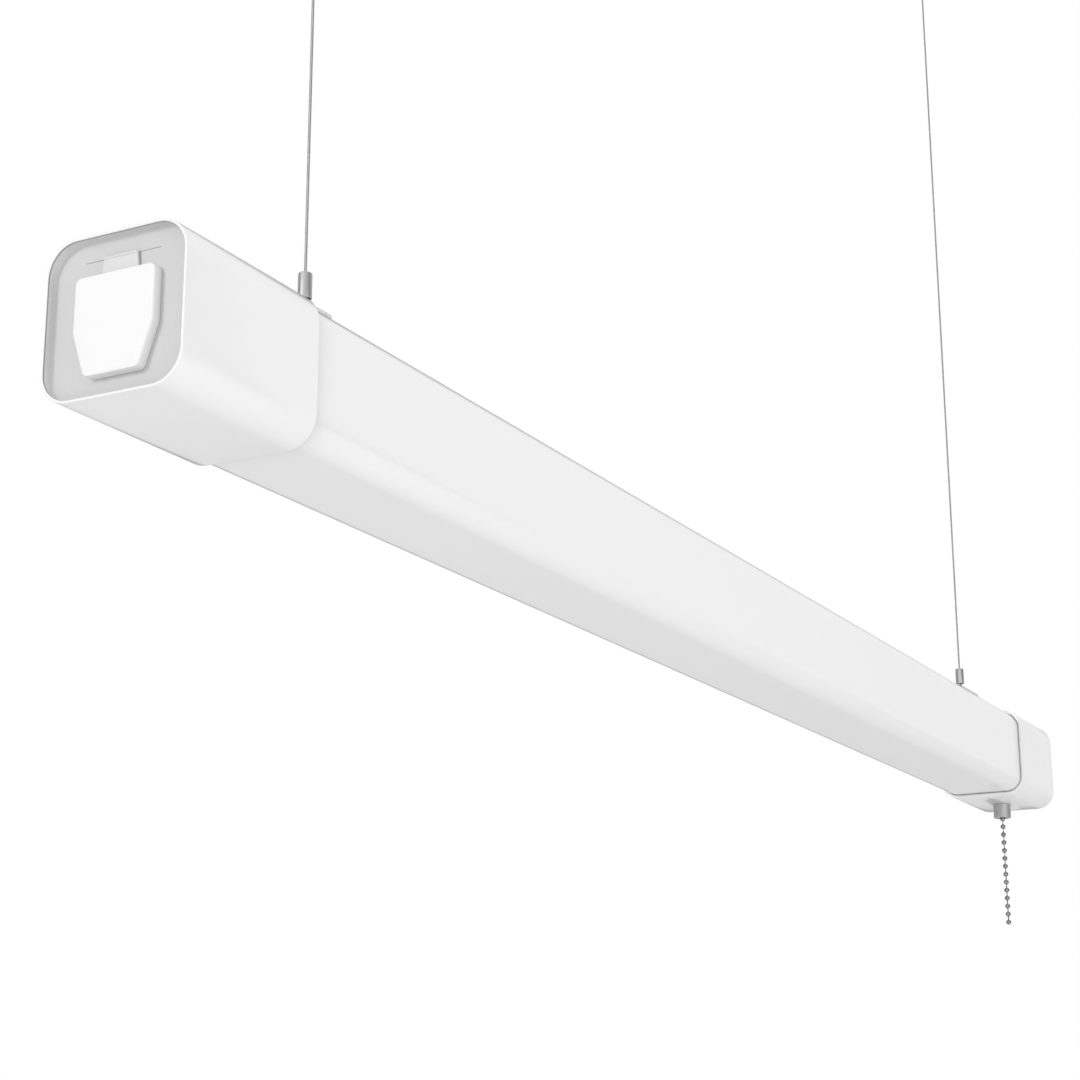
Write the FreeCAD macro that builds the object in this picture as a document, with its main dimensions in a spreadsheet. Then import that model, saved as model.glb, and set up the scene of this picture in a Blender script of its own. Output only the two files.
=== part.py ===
import FreeCAD, Part

import math
import os
import re

import Sketcher

# Hanging LED shop light, four feet long.  Millimetres, Z up.
# Origin: on the ceiling, midway between the two hanging points.  X runs along the light
# from the near end (link outlet) to the far end (pull switch and cord gland).
# Sections are drawn about the light's own centre line, hang_drop below the ceiling.

SIZES = {
    # the light as a whole
    "light_length": 1220.0,
    "hang_drop": 720.0,        # ceiling to the centre line of the light
    "near_inset": 131.0,       # near hanging point from the near end
    "far_inset": 137.0,        # far hanging point from the far end
    "fit_gap": 0.3,            # between curved faces that do not touch
    "seat_gap": 0.1,           # between flat faces that rest on each other
    "over_cut": 1.0,           # cuts start this far outside, and joined pads this far inside
    # end caps
    "cap_width": 70.0,
    "cap_height": 69.5,
    "cap_corner": 14.6,
    "cap_length": 92.0,
    "cap_gap": 0.45,           # round the lens
    "rim_wall": 1.2,           # wall round the end recess
    "recess_depth": 5.0,
    "recess_fillet": 1.6,
    "rim_round": 0.5,
    "floor_wall": 2.2,
    # opal lens
    "lens_width": 65.0,
    "lens_height": 64.2,
    "lens_corner": 12.1,
    "lens_wall": 1.6,
    "lens_inset": 56.0,        # from each end of the light
    "slot_width": 36.0,        # open top, closed by the channel
    # top channel
    "channel_inset": 34.0,
    "channel_wall": 1.5,
    "web_step": 0.8,           # webs set in from the top plate's edges
    "flange_lap": 0.9,         # flanges reach this far past the lens's lips
    "flange_wall": 1.3,
    "flange_height": 26.0,     # top of those flanges above the centre line
    "channel_foot": 8.0,       # underside of the channel above the centre line
    "foot_width": 7.9,         # inward feet, from the outside of the webs
    # gear tray and light engine
    "tray_flat": 44.0,
    "tray_wing": 5.0,
    "tray_wall": 1.0,
    "tray_inset": 62.0,
    "board_width": 14.0,
    "board_wall": 1.1,
    "board_spacing": 26.0,
    "board_inset": 70.0,
    "chip_margin": 12.0,       # end of the board to the first LED package
    "chip_size": 3.0,
    "chip_height": 0.8,
    "chip_count": 38,
    "driver_length": 168.0,
    "driver_gap": 1.4,         # each side, inside the webs
    "driver_height": 17.0,
    "driver_place": 830.0,     # from the near end to the driver's near face
    "driver_corner": 2.0,
    "driver_round": 1.0,
    "wire_radius": 1.1,
    "wire_clear": 4.0,         # outer lane's centre to the inside of the web
    "wire_pitch": 4.4,         # between the lanes beside the screws on the centre line
    "wire_lift": 28.9,         # centre of the internal wires above the centre line
    "wire_bend": 3.3,
    "wire_lead": 16.0,         # straight run out of the terminal block
    "wire_climb": 42.0,        # block to the place where the wires reach their lanes
    "wire_drop": 46.0,         # back of the outlet to where they leave their lanes
    "wire_turn": 18.0,         # back of the outlet to where they pass between the feet
    "wire_stub": 6.0,          # straight run into the outlet
    "block_inset": 6.0,        # from the end of the tray
    "block_length": 24.0,
    "block_pitch": 5.0,        # between the block's three terminals
    "block_height": 11.0,
    # screws
    "screw_shank": 2.0,        # radius
    "screw_head": 3.8,         # radius
    "screw_rise": 2.2,
    "screw_length": 7.0,
    "head_flat": 0.7,          # share of a screw head's radius that is flat on top
    "small_shank": 1.3,
    "small_head": 2.2,
    "small_rise": 1.2,
    "small_length": 5.0,
    "tray_screw_edge": 4.3,    # in from the outside of the webs
    "tray_screw_step": 17,     # LED pitches between tray screws
    "tray_screw_start": 1.5,
    "tray_screw_rows": 3,
    "cap_screw_near": 44.0,    # first cap screw from the end of the light
    "cap_screw_pitch": 32.0,
    # link outlet and its cover
    "cover_half": 19.6,
    "cover_top": 17.1,
    "cover_shoulder": -6.2,
    "cover_foot_half": 13.3,
    "cover_foot": -25.1,
    "cover_corner": 3.0,
    "cover_knee": 5.0,
    "cover_wall": 1.2,
    "cover_edge": 0.7,
    "boss_height": 3.4,
    "slit_height": 25.1,
    "slit_length": 37.4,
    "slit_width": 0.6,
    "strap_root": 16.4,        # width at the slit
    "strap_foot": 18.8,        # width where it meets the cover
    "strap_wall": 1.3,
    "strap_axis": 1.1,         # bend line in front of the recess floor
    "outlet_flange_wall": 2.0,
    "outlet_flange_high": 47.0,
    "outlet_flange_wide": 58.0,
    "outlet_flange_corner": 3.0,
    "outlet_screw_line": 24.0,
    "outlet_post": 2.6,        # radius of the posts that pass through the flange
    "outlet_head": 3.8,
    "outlet_block_high": 36.0,
    "outlet_block_wide": 32.0,
    "outlet_block_deep": 17.0,
    "outlet_block_corner": 4.0,
    "blade_slot_wall": 2.2,
    "blade_slot_high": 8.0,
    "blade_spacing": 12.7,
    "blade_height": 5.0,
    "earth_radius": 2.65,
    "earth_height": -7.5,
    "contact_wall": 0.6,
    "contact_gap": 1.6,
    "contact_deep": 12.0,
    "anchor_wall": 1.8,
    "anchor_high": 4.0,
    "anchor_lap": 1.0,         # past each end of the slit
    # pull switch and chain
    "switch_place": 38.0,      # from the far end
    "switch_long": 26.0,
    "switch_wide": 20.0,
    "switch_corner": 2.0,
    "switch_roof": 2.0,        # wall above the plunger's chamber
    "spring_room": 2.6,        # left under the plunger at the end of a pull
    "stem_radius": 4.9,
    "chain_bore": 2.9,
    "chamber_radius": 5.0,
    "chamber_floor": 2.6,
    "chamber_taper": 1.0,
    "stem_clear": 1.0,         # end of the stem to the collar's floor
    "collar_radius": 7.1,
    "collar_drop": 11.4,
    "collar_mouth": 4.4,
    "collar_floor": 3.2,
    "collar_chamfer": 0.6,
    "pull_travel": 8.0,
    "plunger_radius": 4.4,
    "plunger_wall": 2.6,
    "bead_radius": 2.1,
    "bead_pitch": 6.63,
    "link_radius": 0.45,
    "first_bead": 46.8,        # first bead in view, below the centre line
    "link_ball": 1.5,          # ball on the end of a link that turns in the bead above
    "ball_gap": 0.1,
    "chain_swing": 20.0,       # degrees each way
    # cord gland
    "gland_bore": 3.9,
    "gland_neck": 7.5,
    "gland_flange": 11.0,
    "gland_flange_wall": 3.0,
    "gland_nut_wall": 5.0,
    "gland_tail": 4.0,         # neck past the nut
    "gland_round": 0.8,
    # suspension
    "clip_long": 34.0,
    "clip_wide": 24.0,
    "clip_wall": 1.2,
    "clip_corner": 3.0,
    "ear_radius": 3.0,
    "ear_corner": 2.9,
    "ear_foot": 1.5,           # the ear widens by this at its root
    "ear_shoulder": 2.5,       # height of that widening
    "ear_rise": 3.7,           # bail pivot above the top of the lens
    "clip_screw_pitch": 24.0,
    "pivot_gap": 0.1,          # radial, bail in its ear
    "bail_radius": 1.0,        # radius of the bail's wire
    "bail_half": 13.7,
    "bail_rise": 13.2,         # top of the bail's centre line above its pivot
    "bail_slope": 34.2,        # degrees
    "bail_turn_in": 9.2,
    "bail_bend": 2.0,
    "bail_peak": 2.5,          # bend radius at the top
    "rope_radius": 0.65,
    "crimp_radius": 3.25,
    "crimp_length": 12.4,
    "crimp_round": 0.8,
    "crimp_bell": 2.75,
    "crimp_bell_deep": 2.4,
    "crimp_reach": 6.2,        # how far the rope goes in
    "leg_reach": 2.6,          # how far the eye's legs go in past the bell
    "bore_gap": 0.05,
    "eye_drop": 2.2,           # centre of the wire eye to the crimp's mouth
    "ring_radius": 7.0,
    "ring_wire": 1.0,
    "plate_long": 44.0,
    "plate_wide": 18.0,
    "plate_wall": 2.0,
    "plate_corner": 5.0,
    "plate_hole": 2.25,
    "plate_pitch": 28.0,
    "loop_half": 6.5,
    "loop_wire": 1.5,
    "loop_drop": 7.0,
}

doc = FreeCAD.newDocument("ShopLight")
sheet = doc.addObject("Spreadsheet::Sheet", "Sizes")
for row, (alias, amount) in enumerate(SIZES.items(), start=1):
    sheet.set("A%d" % row, alias)
    sheet.set("B%d" % row, str(amount))
    sheet.setAlias("B%d" % row, alias)
doc.recompute()

PARTS = []
NAMES = re.compile(r"[a-z]+_[a-z_]+")

# places that several pieces share, written in the sheet's own words
NEAR_END = "-(light_length - near_inset - far_inset) / 2 - near_inset"
FAR_END = "(light_length - near_inset - far_inset) / 2 + far_inset"
NEAR_HOOK = "-(light_length - near_inset - far_inset) / 2"
FAR_HOOK = "(light_length - near_inset - far_inset) / 2"
MIDDLE = "-hang_drop"
LENS_TOP = "lens_height / 2"
CHANNEL_TOP = "lens_height / 2 - channel_wall"
LIP_END = "flange_height + seat_gap"
TRAY_TOP = "channel_foot - seat_gap"
PIVOT_RISE = "lens_height / 2 + ear_rise"
EYE_HEIGHT = "lens_height / 2 + ear_rise + bail_rise - hang_drop"
LOOP_HEIGHT = "-plate_wall - loop_drop - loop_half"
RING_CENTRE = "-plate_wall - loop_drop - loop_half + loop_wire + ring_wire + fit_gap - ring_radius"
RING_FOOT = "-plate_wall - loop_drop - loop_half + loop_wire + ring_wire + fit_gap - 2 * ring_radius"
EYE_RADIUS = "bail_radius + fit_gap + rope_radius"
CAP_INNER = "lens_height / 2 + cap_gap"
BOSS_GAP = "cover_wall + fit_gap"
OUTLET_MIDDLE = "(cover_top + cover_foot) / 2"
FLOOR_BACK = "recess_depth + floor_wall"
WEB = "(slot_width / 2 - fit_gap - web_step)"
FLANGE = "(slot_width / 2 + lens_wall + flange_lap)"
FOOT = "(slot_width / 2 - fit_gap - web_step - foot_width)"
WEB_INSIDE = "(slot_width / 2 - fit_gap - web_step - channel_wall)"
SCREW_LINE = "(slot_width / 2 - fit_gap - web_step - tray_screw_edge)"
OUTLET_BACK = FLOOR_BACK + " + seat_gap + outlet_flange_wall + outlet_block_deep"
CHIP_RUN = "light_length - 2 * board_inset - 2 * chip_margin"
CHIP_PITCH = "(" + CHIP_RUN + ") / (chip_count - 1)"
TRAY_SCREW_X = "board_inset + chip_margin + tray_screw_start * " + CHIP_PITCH
TRAY_SCREW_RUN = "(tray_screw_rows - 1) * tray_screw_step * " + CHIP_PITCH
BLOCK_X = "light_length - tray_inset - block_length - block_inset"


def bound(text):
    """Expression text with the sheet's name put before each of its sizes."""
    return NAMES.sub(lambda found: "Sizes." + found.group(0)
                     if found.group(0) in SIZES else found.group(0), text)


def number(owner, text):
    """The value of an expression, in millimetres or degrees."""
    found = owner.evalExpression(bound(text))
    return float(getattr(found, "Value", found))


def tie(thing, **expressions):
    """Bind properties of a feature to the sheet."""
    for prop, text in expressions.items():
        thing.setExpression(prop, bound(text))


def place(thing, x="0", y="0", z="0"):
    """Bind where a body or a primitive stands."""
    for axis, text in (("x", x), ("y", y), ("z", z)):
        thing.setExpression("Placement.Base." + axis, bound(text))


def keep(thing):
    """Count an object among the pieces that are written out."""
    PARTS.append(thing)
    return thing


def new_body(label, x="0", y="0", z="0", turn=None):
    """A body of its own for one piece, turned about an axis where asked."""
    body = doc.addObject("PartDesign::Body", label)
    body.Label = label
    if turn:
        axis, degrees = turn
        body.Placement = FreeCAD.Placement(FreeCAD.Vector(0, 0, 0),
                                           FreeCAD.Rotation(FreeCAD.Vector(*axis), degrees))
    place(body, x, y, z)
    return keep(body)


def plane_of(body, role):
    return [item for item in body.Origin.OriginFeatures if item.Role == role][0]


def sketch_on(body, plane, name, shift=None):
    """A sketch on one of the body's own planes, shifted along the plane's normal."""
    sketch = body.newObject("Sketcher::SketchObject", name)
    sketch.AttachmentSupport = [(plane_of(body, plane + "_Plane"), "")]
    sketch.MapMode = "FlatFace"
    if shift is not None:
        sketch.setExpression("AttachmentOffset.Base.z", bound(shift))
    return sketch


def pin_point(sketch, geometry, end, x, y):
    """Hold a point at sheet-given distances from the sketch's origin."""
    for kind, text in (("DistanceX", x), ("DistanceY", y)):
        index = sketch.addConstraint(Sketcher.Constraint(kind, -1, 1, geometry, end, number(sketch, text)))
        sketch.setExpression("Constraints[%d]" % index, bound(text))


def outline(sketch, corners, closed=True):
    """A chain of straight runs through corners (x, y, bend radius or None).

    A rounded corner is an arc tangent to both runs; its sharp corner stays in the sketch as a
    construction point that the sheet places, so bend and place are set apart."""
    spots = [FreeCAD.Vector(number(sketch, x), number(sketch, y), 0) for x, y, _ in corners]
    count = len(spots)
    ways = []
    for i in range(count):
        way = spots[(i + 1) % count] - spots[i]
        ways.append(way.normalize())
    cuts = []
    for i, (_, _, bend) in enumerate(corners):
        inner = closed or 0 < i < count - 1
        if bend is None or not inner:
            cuts.append((0.0, None))
            continue
        radius = number(sketch, bend)
        half = ways[i - 1].getAngle(ways[i]) / 2
        cuts.append((radius * math.tan(half), radius))
    runs = count if closed else count - 1
    lines = []
    for i in range(runs):
        nxt = (i + 1) % count
        start = spots[i] + ways[i] * cuts[i][0]
        finish = spots[nxt] - ways[i] * cuts[nxt][0]
        lines.append(sketch.addGeometry(Part.LineSegment(start, finish), False))
    for i, (x, y, bend) in enumerate(corners):
        before, after = (i - 1) % count, i
        if not closed and i == 0:
            pin_point(sketch, lines[0], 1, x, y)
            continue
        if not closed and i == count - 1:
            pin_point(sketch, lines[-1], 2, x, y)
            continue
        if cuts[i][1] is None:
            sketch.addConstraint(Sketcher.Constraint("Coincident", lines[before], 2, lines[after], 1))
            pin_point(sketch, lines[after], 1, x, y)
            continue
        radius = cuts[i][1]
        start = spots[i] - ways[before] * cuts[i][0]
        finish = spots[i] + ways[after] * cuts[i][0]
        left = ways[before].x * ways[after].y - ways[before].y * ways[after].x > 0
        side = FreeCAD.Vector(-ways[before].y, ways[before].x, 0) * (1 if left else -1)
        centre = start + side * radius
        half_way = centre + ((spots[i] - centre).normalize()) * radius
        arc = sketch.addGeometry(Part.Arc(start, half_way, finish), False)
        # an arc runs anticlockwise, so its first end meets the run before only on a left turn
        first, last = (1, 2) if left else (2, 1)
        sketch.addConstraint(Sketcher.Constraint("Tangent", lines[before], 2, arc, first))
        sketch.addConstraint(Sketcher.Constraint("Tangent", lines[after], 1, arc, last))
        index = sketch.addConstraint(Sketcher.Constraint("Radius", arc, radius))
        sketch.setExpression("Constraints[%d]" % index, bound(bend))
        point = sketch.addGeometry(Part.Point(spots[i]), True)
        sketch.addConstraint(Sketcher.Constraint("PointOnObject", point, 1, lines[before]))
        sketch.addConstraint(Sketcher.Constraint("PointOnObject", point, 1, lines[after]))
        pin_point(sketch, point, 1, x, y)
    return lines


def rectangle(sketch, half_x, half_y, bend=None, x="0", y="0"):
    """A rectangle, rounded where a bend is given, by its half sizes about a centre."""
    east, west = "%s + %s" % (x, half_x), "%s - (%s)" % (x, half_x)
    north, south = "%s + %s" % (y, half_y), "%s - (%s)" % (y, half_y)
    outline(sketch, [(east, south, bend), (east, north, bend), (west, north, bend), (west, south, bend)])


def circle(sketch, radius, x="0", y="0"):
    centre = FreeCAD.Vector(number(sketch, x), number(sketch, y), 0)
    ring = sketch.addGeometry(Part.Circle(centre, FreeCAD.Vector(0, 0, 1), number(sketch, radius)), False)
    index = sketch.addConstraint(Sketcher.Constraint("Radius", ring, number(sketch, radius)))
    sketch.setExpression("Constraints[%d]" % index, bound(radius))
    pin_point(sketch, ring, 3, x, y)


def pad(body, sketch, name, length, backward=False, middle=False):
    feature = body.newObject("PartDesign::Pad", name)
    feature.Profile = sketch
    feature.Reversed = backward
    if middle:
        feature.SideType = "Symmetric"
    tie(feature, Length=length)
    return feature


def pocket(body, sketch, name, length=None, backward=False, middle=False):
    """Cut a sketch out of the body; with no length it cuts right through both ways."""
    feature = body.newObject("PartDesign::Pocket", name)
    feature.Profile = sketch
    feature.Reversed = backward
    if length is None:
        feature.Type = 1
        feature.SideType = "Symmetric"
    else:
        if middle:
            feature.SideType = "Symmetric"
        tie(feature, Length=length)
    return feature


def revolve(body, sketch, name, cut=False):
    """Turn a sketch about the vertical line of its own plane."""
    feature = body.newObject("PartDesign::Groove" if cut else "PartDesign::Revolution", name)
    feature.Profile = sketch
    feature.ReferenceAxis = (sketch, ["V_Axis"])
    feature.Angle = 360.0
    return feature


def repeat(body, feature, name, sketch, axis, length, count):
    pattern = body.newObject("PartDesign::LinearPattern", name)
    pattern.Originals = [feature]
    pattern.Direction = (sketch, [axis])
    tie(pattern, Length=length, Occurrences=count)
    body.Tip = pattern
    return pattern


def edges_where(feature, test):
    """Names of the edges whose middle point passes a test."""
    doc.recompute()
    found = []
    for index, edge in enumerate(feature.Shape.Edges, start=1):
        middle = edge.valueAt((edge.FirstParameter + edge.LastParameter) / 2)
        if test(middle, edge):
            found.append("Edge%d" % index)
    return found


def round_edges(body, feature, name, radius, test):
    fillet = body.newObject("PartDesign::Fillet", name)
    fillet.Base = (feature, edges_where(feature, test))
    tie(fillet, Radius=radius)
    body.Tip = fillet
    return fillet


def pipe(body, name, profile, spine):
    feature = body.newObject("PartDesign::AdditivePipe", name)
    feature.Profile = profile
    feature.Spine = spine
    body.Tip = feature
    return feature


def near(value, target, reach=0.02):
    return abs(value - target) < reach


# ---------------------------------------------------------------- end caps

def cap_sleeve(body):
    """Square sleeve with round corners, a shallow recess in its end and a socket for the lens."""
    block = sketch_on(body, "YZ", "CapOutline")
    rectangle(block, "cap_width / 2", "cap_height / 2", "cap_corner")
    sleeve = pad(body, block, "Sleeve", "cap_length")
    face = sketch_on(body, "YZ", "RecessOutline")
    rectangle(face, "cap_width / 2 - rim_wall", "cap_height / 2 - rim_wall", "cap_corner - rim_wall")
    recess = pocket(body, face, "Recess", "recess_depth", backward=True)
    mouth = sketch_on(body, "YZ", "SocketOutline", FLOOR_BACK)
    rectangle(mouth, "lens_width / 2 + cap_gap", "lens_height / 2 + cap_gap", "lens_corner + cap_gap")
    socket = pocket(body, mouth, "LensSocket", "cap_length - recess_depth - floor_wall", backward=True)
    depth = number(body, "recess_depth")
    half = number(body, "cap_width / 2")
    floor = round_edges(body, socket, "FloorFillet", "recess_fillet",
                        lambda spot, edge: near(spot.x, depth))
    length = number(body, "cap_length")
    rim = round_edges(body, floor, "RimRound", "rim_round",
                      lambda spot, edge: near(spot.x, 0))
    top = number(body, "cap_height / 2")
    bulge = number(body, "cap_corner") * (1 - math.sqrt(0.5))
    corner = math.hypot(half - bulge, top - bulge)
    round_edges(body, rim, "SleeveRound", "rim_round",
                lambda spot, edge: near(spot.x, length)
                and (near(abs(spot.y), half) or near(abs(spot.z), top)
                     or near(math.hypot(spot.y, spot.z), corner)))


def cap_screw_holes(body):
    holes = sketch_on(body, "XY", "CapScrewHole", "cap_height / 2")
    circle(holes, "screw_shank + fit_gap", "cap_screw_near", "0")
    first = pocket(body, holes, "CapScrewHoles", "cap_width - lens_width")
    repeat(body, first, "CapScrewRow", holes, "H_Axis", "cap_screw_pitch", "2")


def shield(sketch, inset="0 * cap_corner"):
    """The outlet's shield shape: square shoulders above, drawn in to a narrow foot."""
    lean = "(cover_half - cover_foot_half) / (cover_shoulder - cover_foot)"
    # moving the sloping sides in by the inset moves their corners along the level edges
    slip = "(%s) * (sqrt(1 + (%s)^2) - (%s))" % (inset, lean, lean)
    drop = "(%s) * (1 - 1 / (sqrt(1 + (%s)^2) + (%s)))" % (inset, lean, lean)
    corner = "cover_corner - (%s)" % inset
    knee = "cover_knee - (%s)" % inset
    side, foot = "(cover_half - (%s))" % inset, "(cover_foot_half - (%s))" % slip
    top, toe = "cover_top - (%s)" % inset, "cover_foot + (%s)" % inset
    waist = "cover_shoulder + (%s) - (%s)" % (inset, drop)
    outline(sketch, [("-" + side, top, corner), ("-" + side, waist, knee), ("-" + foot, toe, corner),
                     (foot, toe, corner), (side, waist, knee), (side, top, corner)])


def near_cap():
    body = new_body("near_cap", NEAR_END, "0", MIDDLE)
    cap_sleeve(body)
    cap_screw_holes(body)
    hole = sketch_on(body, "YZ", "OutletHole", "recess_depth - over_cut")
    shield(hole, "cover_wall + fit_gap / 2")
    pocket(body, hole, "OutletOpening", "floor_wall + 2 * over_cut", backward=True)
    slit = sketch_on(body, "YZ", "StrapSlit", "recess_depth - over_cut")
    rectangle(slit, "slit_length / 2", "slit_width / 2", None, "0", "slit_height")
    pocket(body, slit, "StrapSlot", "floor_wall + 2 * over_cut", backward=True)
    posts = sketch_on(body, "YZ", "OutletPosts", FLOOR_BACK + " - over_cut")
    bores = sketch_on(body, "YZ", "PostBores", FLOOR_BACK + " + outlet_flange_wall")
    for side in ("-", ""):
        circle(posts, "outlet_post", side + "outlet_screw_line", OUTLET_MIDDLE)
        circle(bores, "small_shank + bore_gap", side + "outlet_screw_line", OUTLET_MIDDLE)
    pad(body, posts, "Posts", "outlet_flange_wall + over_cut")
    pocket(body, bores, "ScrewBores", "outlet_flange_wall + floor_wall / 2")


def far_cap():
    body = new_body("far_cap", FAR_END, "0", MIDDLE, ((0, 0, 1), 180))
    cap_sleeve(body)
    cap_screw_holes(body)
    hole = sketch_on(body, "YZ", "GlandHole", "recess_depth - over_cut")
    circle(hole, "gland_neck + fit_gap / 2")
    pocket(body, hole, "GlandOpening", "floor_wall + 2 * over_cut", backward=True)
    under = sketch_on(body, "XY", "StemHole", "-cap_height / 2")
    circle(under, "stem_radius + fit_gap / 2", "switch_place")
    pocket(body, under, "StemOpening", "2 * (cap_width - lens_width)", middle=True)


# ---------------------------------------------------------------- lens, spine and light engine

def lens():
    """Opal extrusion, open along its top, with two lips turned down onto the channel's flanges."""
    body = new_body("opal_lens", NEAR_END, "0", MIDDLE)
    section = sketch_on(body, "YZ", "LensSection", "lens_inset")
    wide, high, slot = "lens_width / 2", "lens_height / 2", "slot_width / 2"
    inner, inside = "lens_corner", "lens_corner - lens_wall"
    thin_wide, thin_high = "lens_width / 2 - lens_wall", "lens_height / 2 - lens_wall"
    lip = "slot_width / 2 + lens_wall"
    outline(section, [
        (slot, high, None), (slot, LIP_END, None), (lip, LIP_END, None), (lip, thin_high, None),
        (thin_wide, thin_high, inside), (thin_wide, "-(%s)" % thin_high, inside),
        ("-(%s)" % thin_wide, "-(%s)" % thin_high, inside), ("-(%s)" % thin_wide, thin_high, inside),
        ("-(%s)" % lip, thin_high, None), ("-(%s)" % lip, LIP_END, None),
        ("-(%s)" % slot, LIP_END, None), ("-(%s)" % slot, high, None),
        ("-(%s)" % wide, high, inner), ("-(%s)" % wide, "-(%s)" % high, inner),
        (wide, "-(%s)" % high, inner), (wide, high, inner)])
    pad(body, section, "LensExtrusion", "light_length - 2 * lens_inset")


def top_channel():
    """Aluminium spine: a top plate, two webs, outward flanges for the lens, inward feet below."""
    body = new_body("top_channel", NEAR_END, "0", MIDDLE)
    section = sketch_on(body, "YZ", "ChannelSection", "channel_inset")
    plate = "slot_width / 2 - fit_gap"
    right = [(plate, LENS_TOP), (plate, CHANNEL_TOP), (WEB, CHANNEL_TOP), (WEB, "flange_height"),
             (FLANGE, "flange_height"), (FLANGE, "flange_height - flange_wall"),
             (WEB, "flange_height - flange_wall"), (WEB, "channel_foot"), (FOOT, "channel_foot"),
             (FOOT, "channel_foot + channel_wall"), (WEB_INSIDE, "channel_foot + channel_wall"),
             (WEB_INSIDE, CHANNEL_TOP)]
    left = [("-(%s)" % y, z) for y, z in reversed(right)]
    outline(section, [(y, z, None) for y, z in right + left])
    pad(body, section, "ChannelExtrusion", "light_length - 2 * channel_inset")
    for name, start, pitch in (
            ("NearCapScrew", "cap_screw_near", "cap_screw_pitch"),
            ("FarCapScrew", "light_length - cap_screw_near - cap_screw_pitch", "cap_screw_pitch"),
            ("NearClipScrew", "near_inset - clip_screw_pitch / 2", "clip_screw_pitch"),
            ("FarClipScrew", "light_length - far_inset - clip_screw_pitch / 2", "clip_screw_pitch")):
        hole = sketch_on(body, "XY", name + "Hole", LENS_TOP)
        circle(hole, "screw_shank + bore_gap", start, "0")
        first = pocket(body, hole, name + "Bore", "2 * channel_wall")
        repeat(body, first, name + "Row", hole, "H_Axis", pitch, "2")
    foot = sketch_on(body, "XY", "TrayScrewHole", "channel_foot")
    for side in ("-", ""):
        circle(foot, "small_shank + bore_gap", TRAY_SCREW_X, side + SCREW_LINE)
    first = pocket(body, foot, "TrayScrewBores", "4 * channel_wall", middle=True)
    repeat(body, first, "TrayScrewRow", foot, "H_Axis", TRAY_SCREW_RUN, "tray_screw_rows")


def gear_tray():
    """Folded white tray that closes the channel from below and carries the LED boards."""
    body = new_body("gear_tray", NEAR_END, "0", MIDDLE)
    section = sketch_on(body, "YZ", "TraySection", "tray_inset")
    flat, wing, low = "tray_flat / 2", "tray_flat / 2 + tray_wing", TRAY_TOP + " - tray_wall"
    rise, thick = "(%s) + tray_wing" % low, "tray_wall * sqrt(2)"
    nip = "tray_wall * (sqrt(2) - 1)"
    right = [(flat, low), (wing, rise), (wing, "%s + %s" % (rise, thick)),
             ("%s - %s" % (flat, nip), TRAY_TOP)]
    left = [("-(%s)" % y, z) for y, z in reversed(right)]
    outline(section, [(y, z, None) for y, z in right + left])
    pad(body, section, "TrayExtrusion", "light_length - 2 * tray_inset")
    foot = sketch_on(body, "XY", "TrayHole", TRAY_TOP)
    for side in ("-", ""):
        circle(foot, "small_shank + fit_gap", TRAY_SCREW_X, side + SCREW_LINE)
    first = pocket(body, foot, "TrayHoles", "4 * tray_wall", middle=True)
    repeat(body, first, "TrayHoleRow", foot, "H_Axis", TRAY_SCREW_RUN, "tray_screw_rows")


def led_boards():
    """Two long boards under the tray, each with one row of LED packages on its lower face."""
    low = TRAY_TOP + " - tray_wall - seat_gap - hang_drop"
    for side, sign in (("left", ""), ("right", "-")):
        middle = sign + "board_spacing / 2"
        board = new_body(side + "_led_board", NEAR_END, "0", low)
        base = sketch_on(board, "XY", "BoardOutline")
        rectangle(base, "light_length / 2 - board_inset", "board_width / 2", None, "light_length / 2", middle)
        pad(board, base, "Board", "board_wall", backward=True)
        hole = sketch_on(board, "XY", "BoardHole")
        circle(hole, "small_shank + fit_gap", TRAY_SCREW_X, sign + SCREW_LINE)
        bore = pocket(board, hole, "BoardBore", "3 * board_wall", middle=True)
        repeat(board, bore, "BoardHoleRow", hole, "H_Axis", TRAY_SCREW_RUN, "tray_screw_rows")
        chips = new_body(side + "_led_chips", NEAR_END, "0", low + " - board_wall")
        first = sketch_on(chips, "XY", "ChipOutline")
        rectangle(first, "chip_size / 2", "chip_size / 2", None, "board_inset + chip_margin", middle)
        chip = pad(chips, first, "Chip", "chip_height", backward=True)
        repeat(chips, chip, "ChipRow", first, "H_Axis", CHIP_RUN, "chip_count")


def driver():
    body = new_body("led_driver", NEAR_END + " + driver_place", "0",
                    "channel_foot + channel_wall + seat_gap - hang_drop")
    base = sketch_on(body, "XY", "DriverOutline")
    rectangle(base, "driver_length / 2", WEB_INSIDE + " - driver_gap", "driver_corner", "driver_length / 2")
    case = pad(body, base, "DriverCase", "driver_height")
    high = number(body, "driver_height")
    round_edges(body, case, "DriverTop", "driver_round", lambda spot, edge: near(spot.z, high))


def terminal_block():
    body = new_body("terminal_block", NEAR_END + " + " + BLOCK_X, "0", TRAY_TOP + " + seat_gap - hang_drop")
    base = sketch_on(body, "XY", "BlockOutline")
    rectangle(base, "block_length / 2", FOOT + " - fit_gap", "fit_gap", "block_length / 2", "0")
    pad(body, base, "Block", "block_height")
    well = sketch_on(body, "XY", "ScrewWell", "block_height")
    circle(well, "small_shank + fit_gap", "block_length / 2", "-block_pitch")
    first = pocket(body, well, "Well", "block_height / 3")
    repeat(body, first, "WellRow", well, "V_Axis", "2 * block_pitch", "3")


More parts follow.
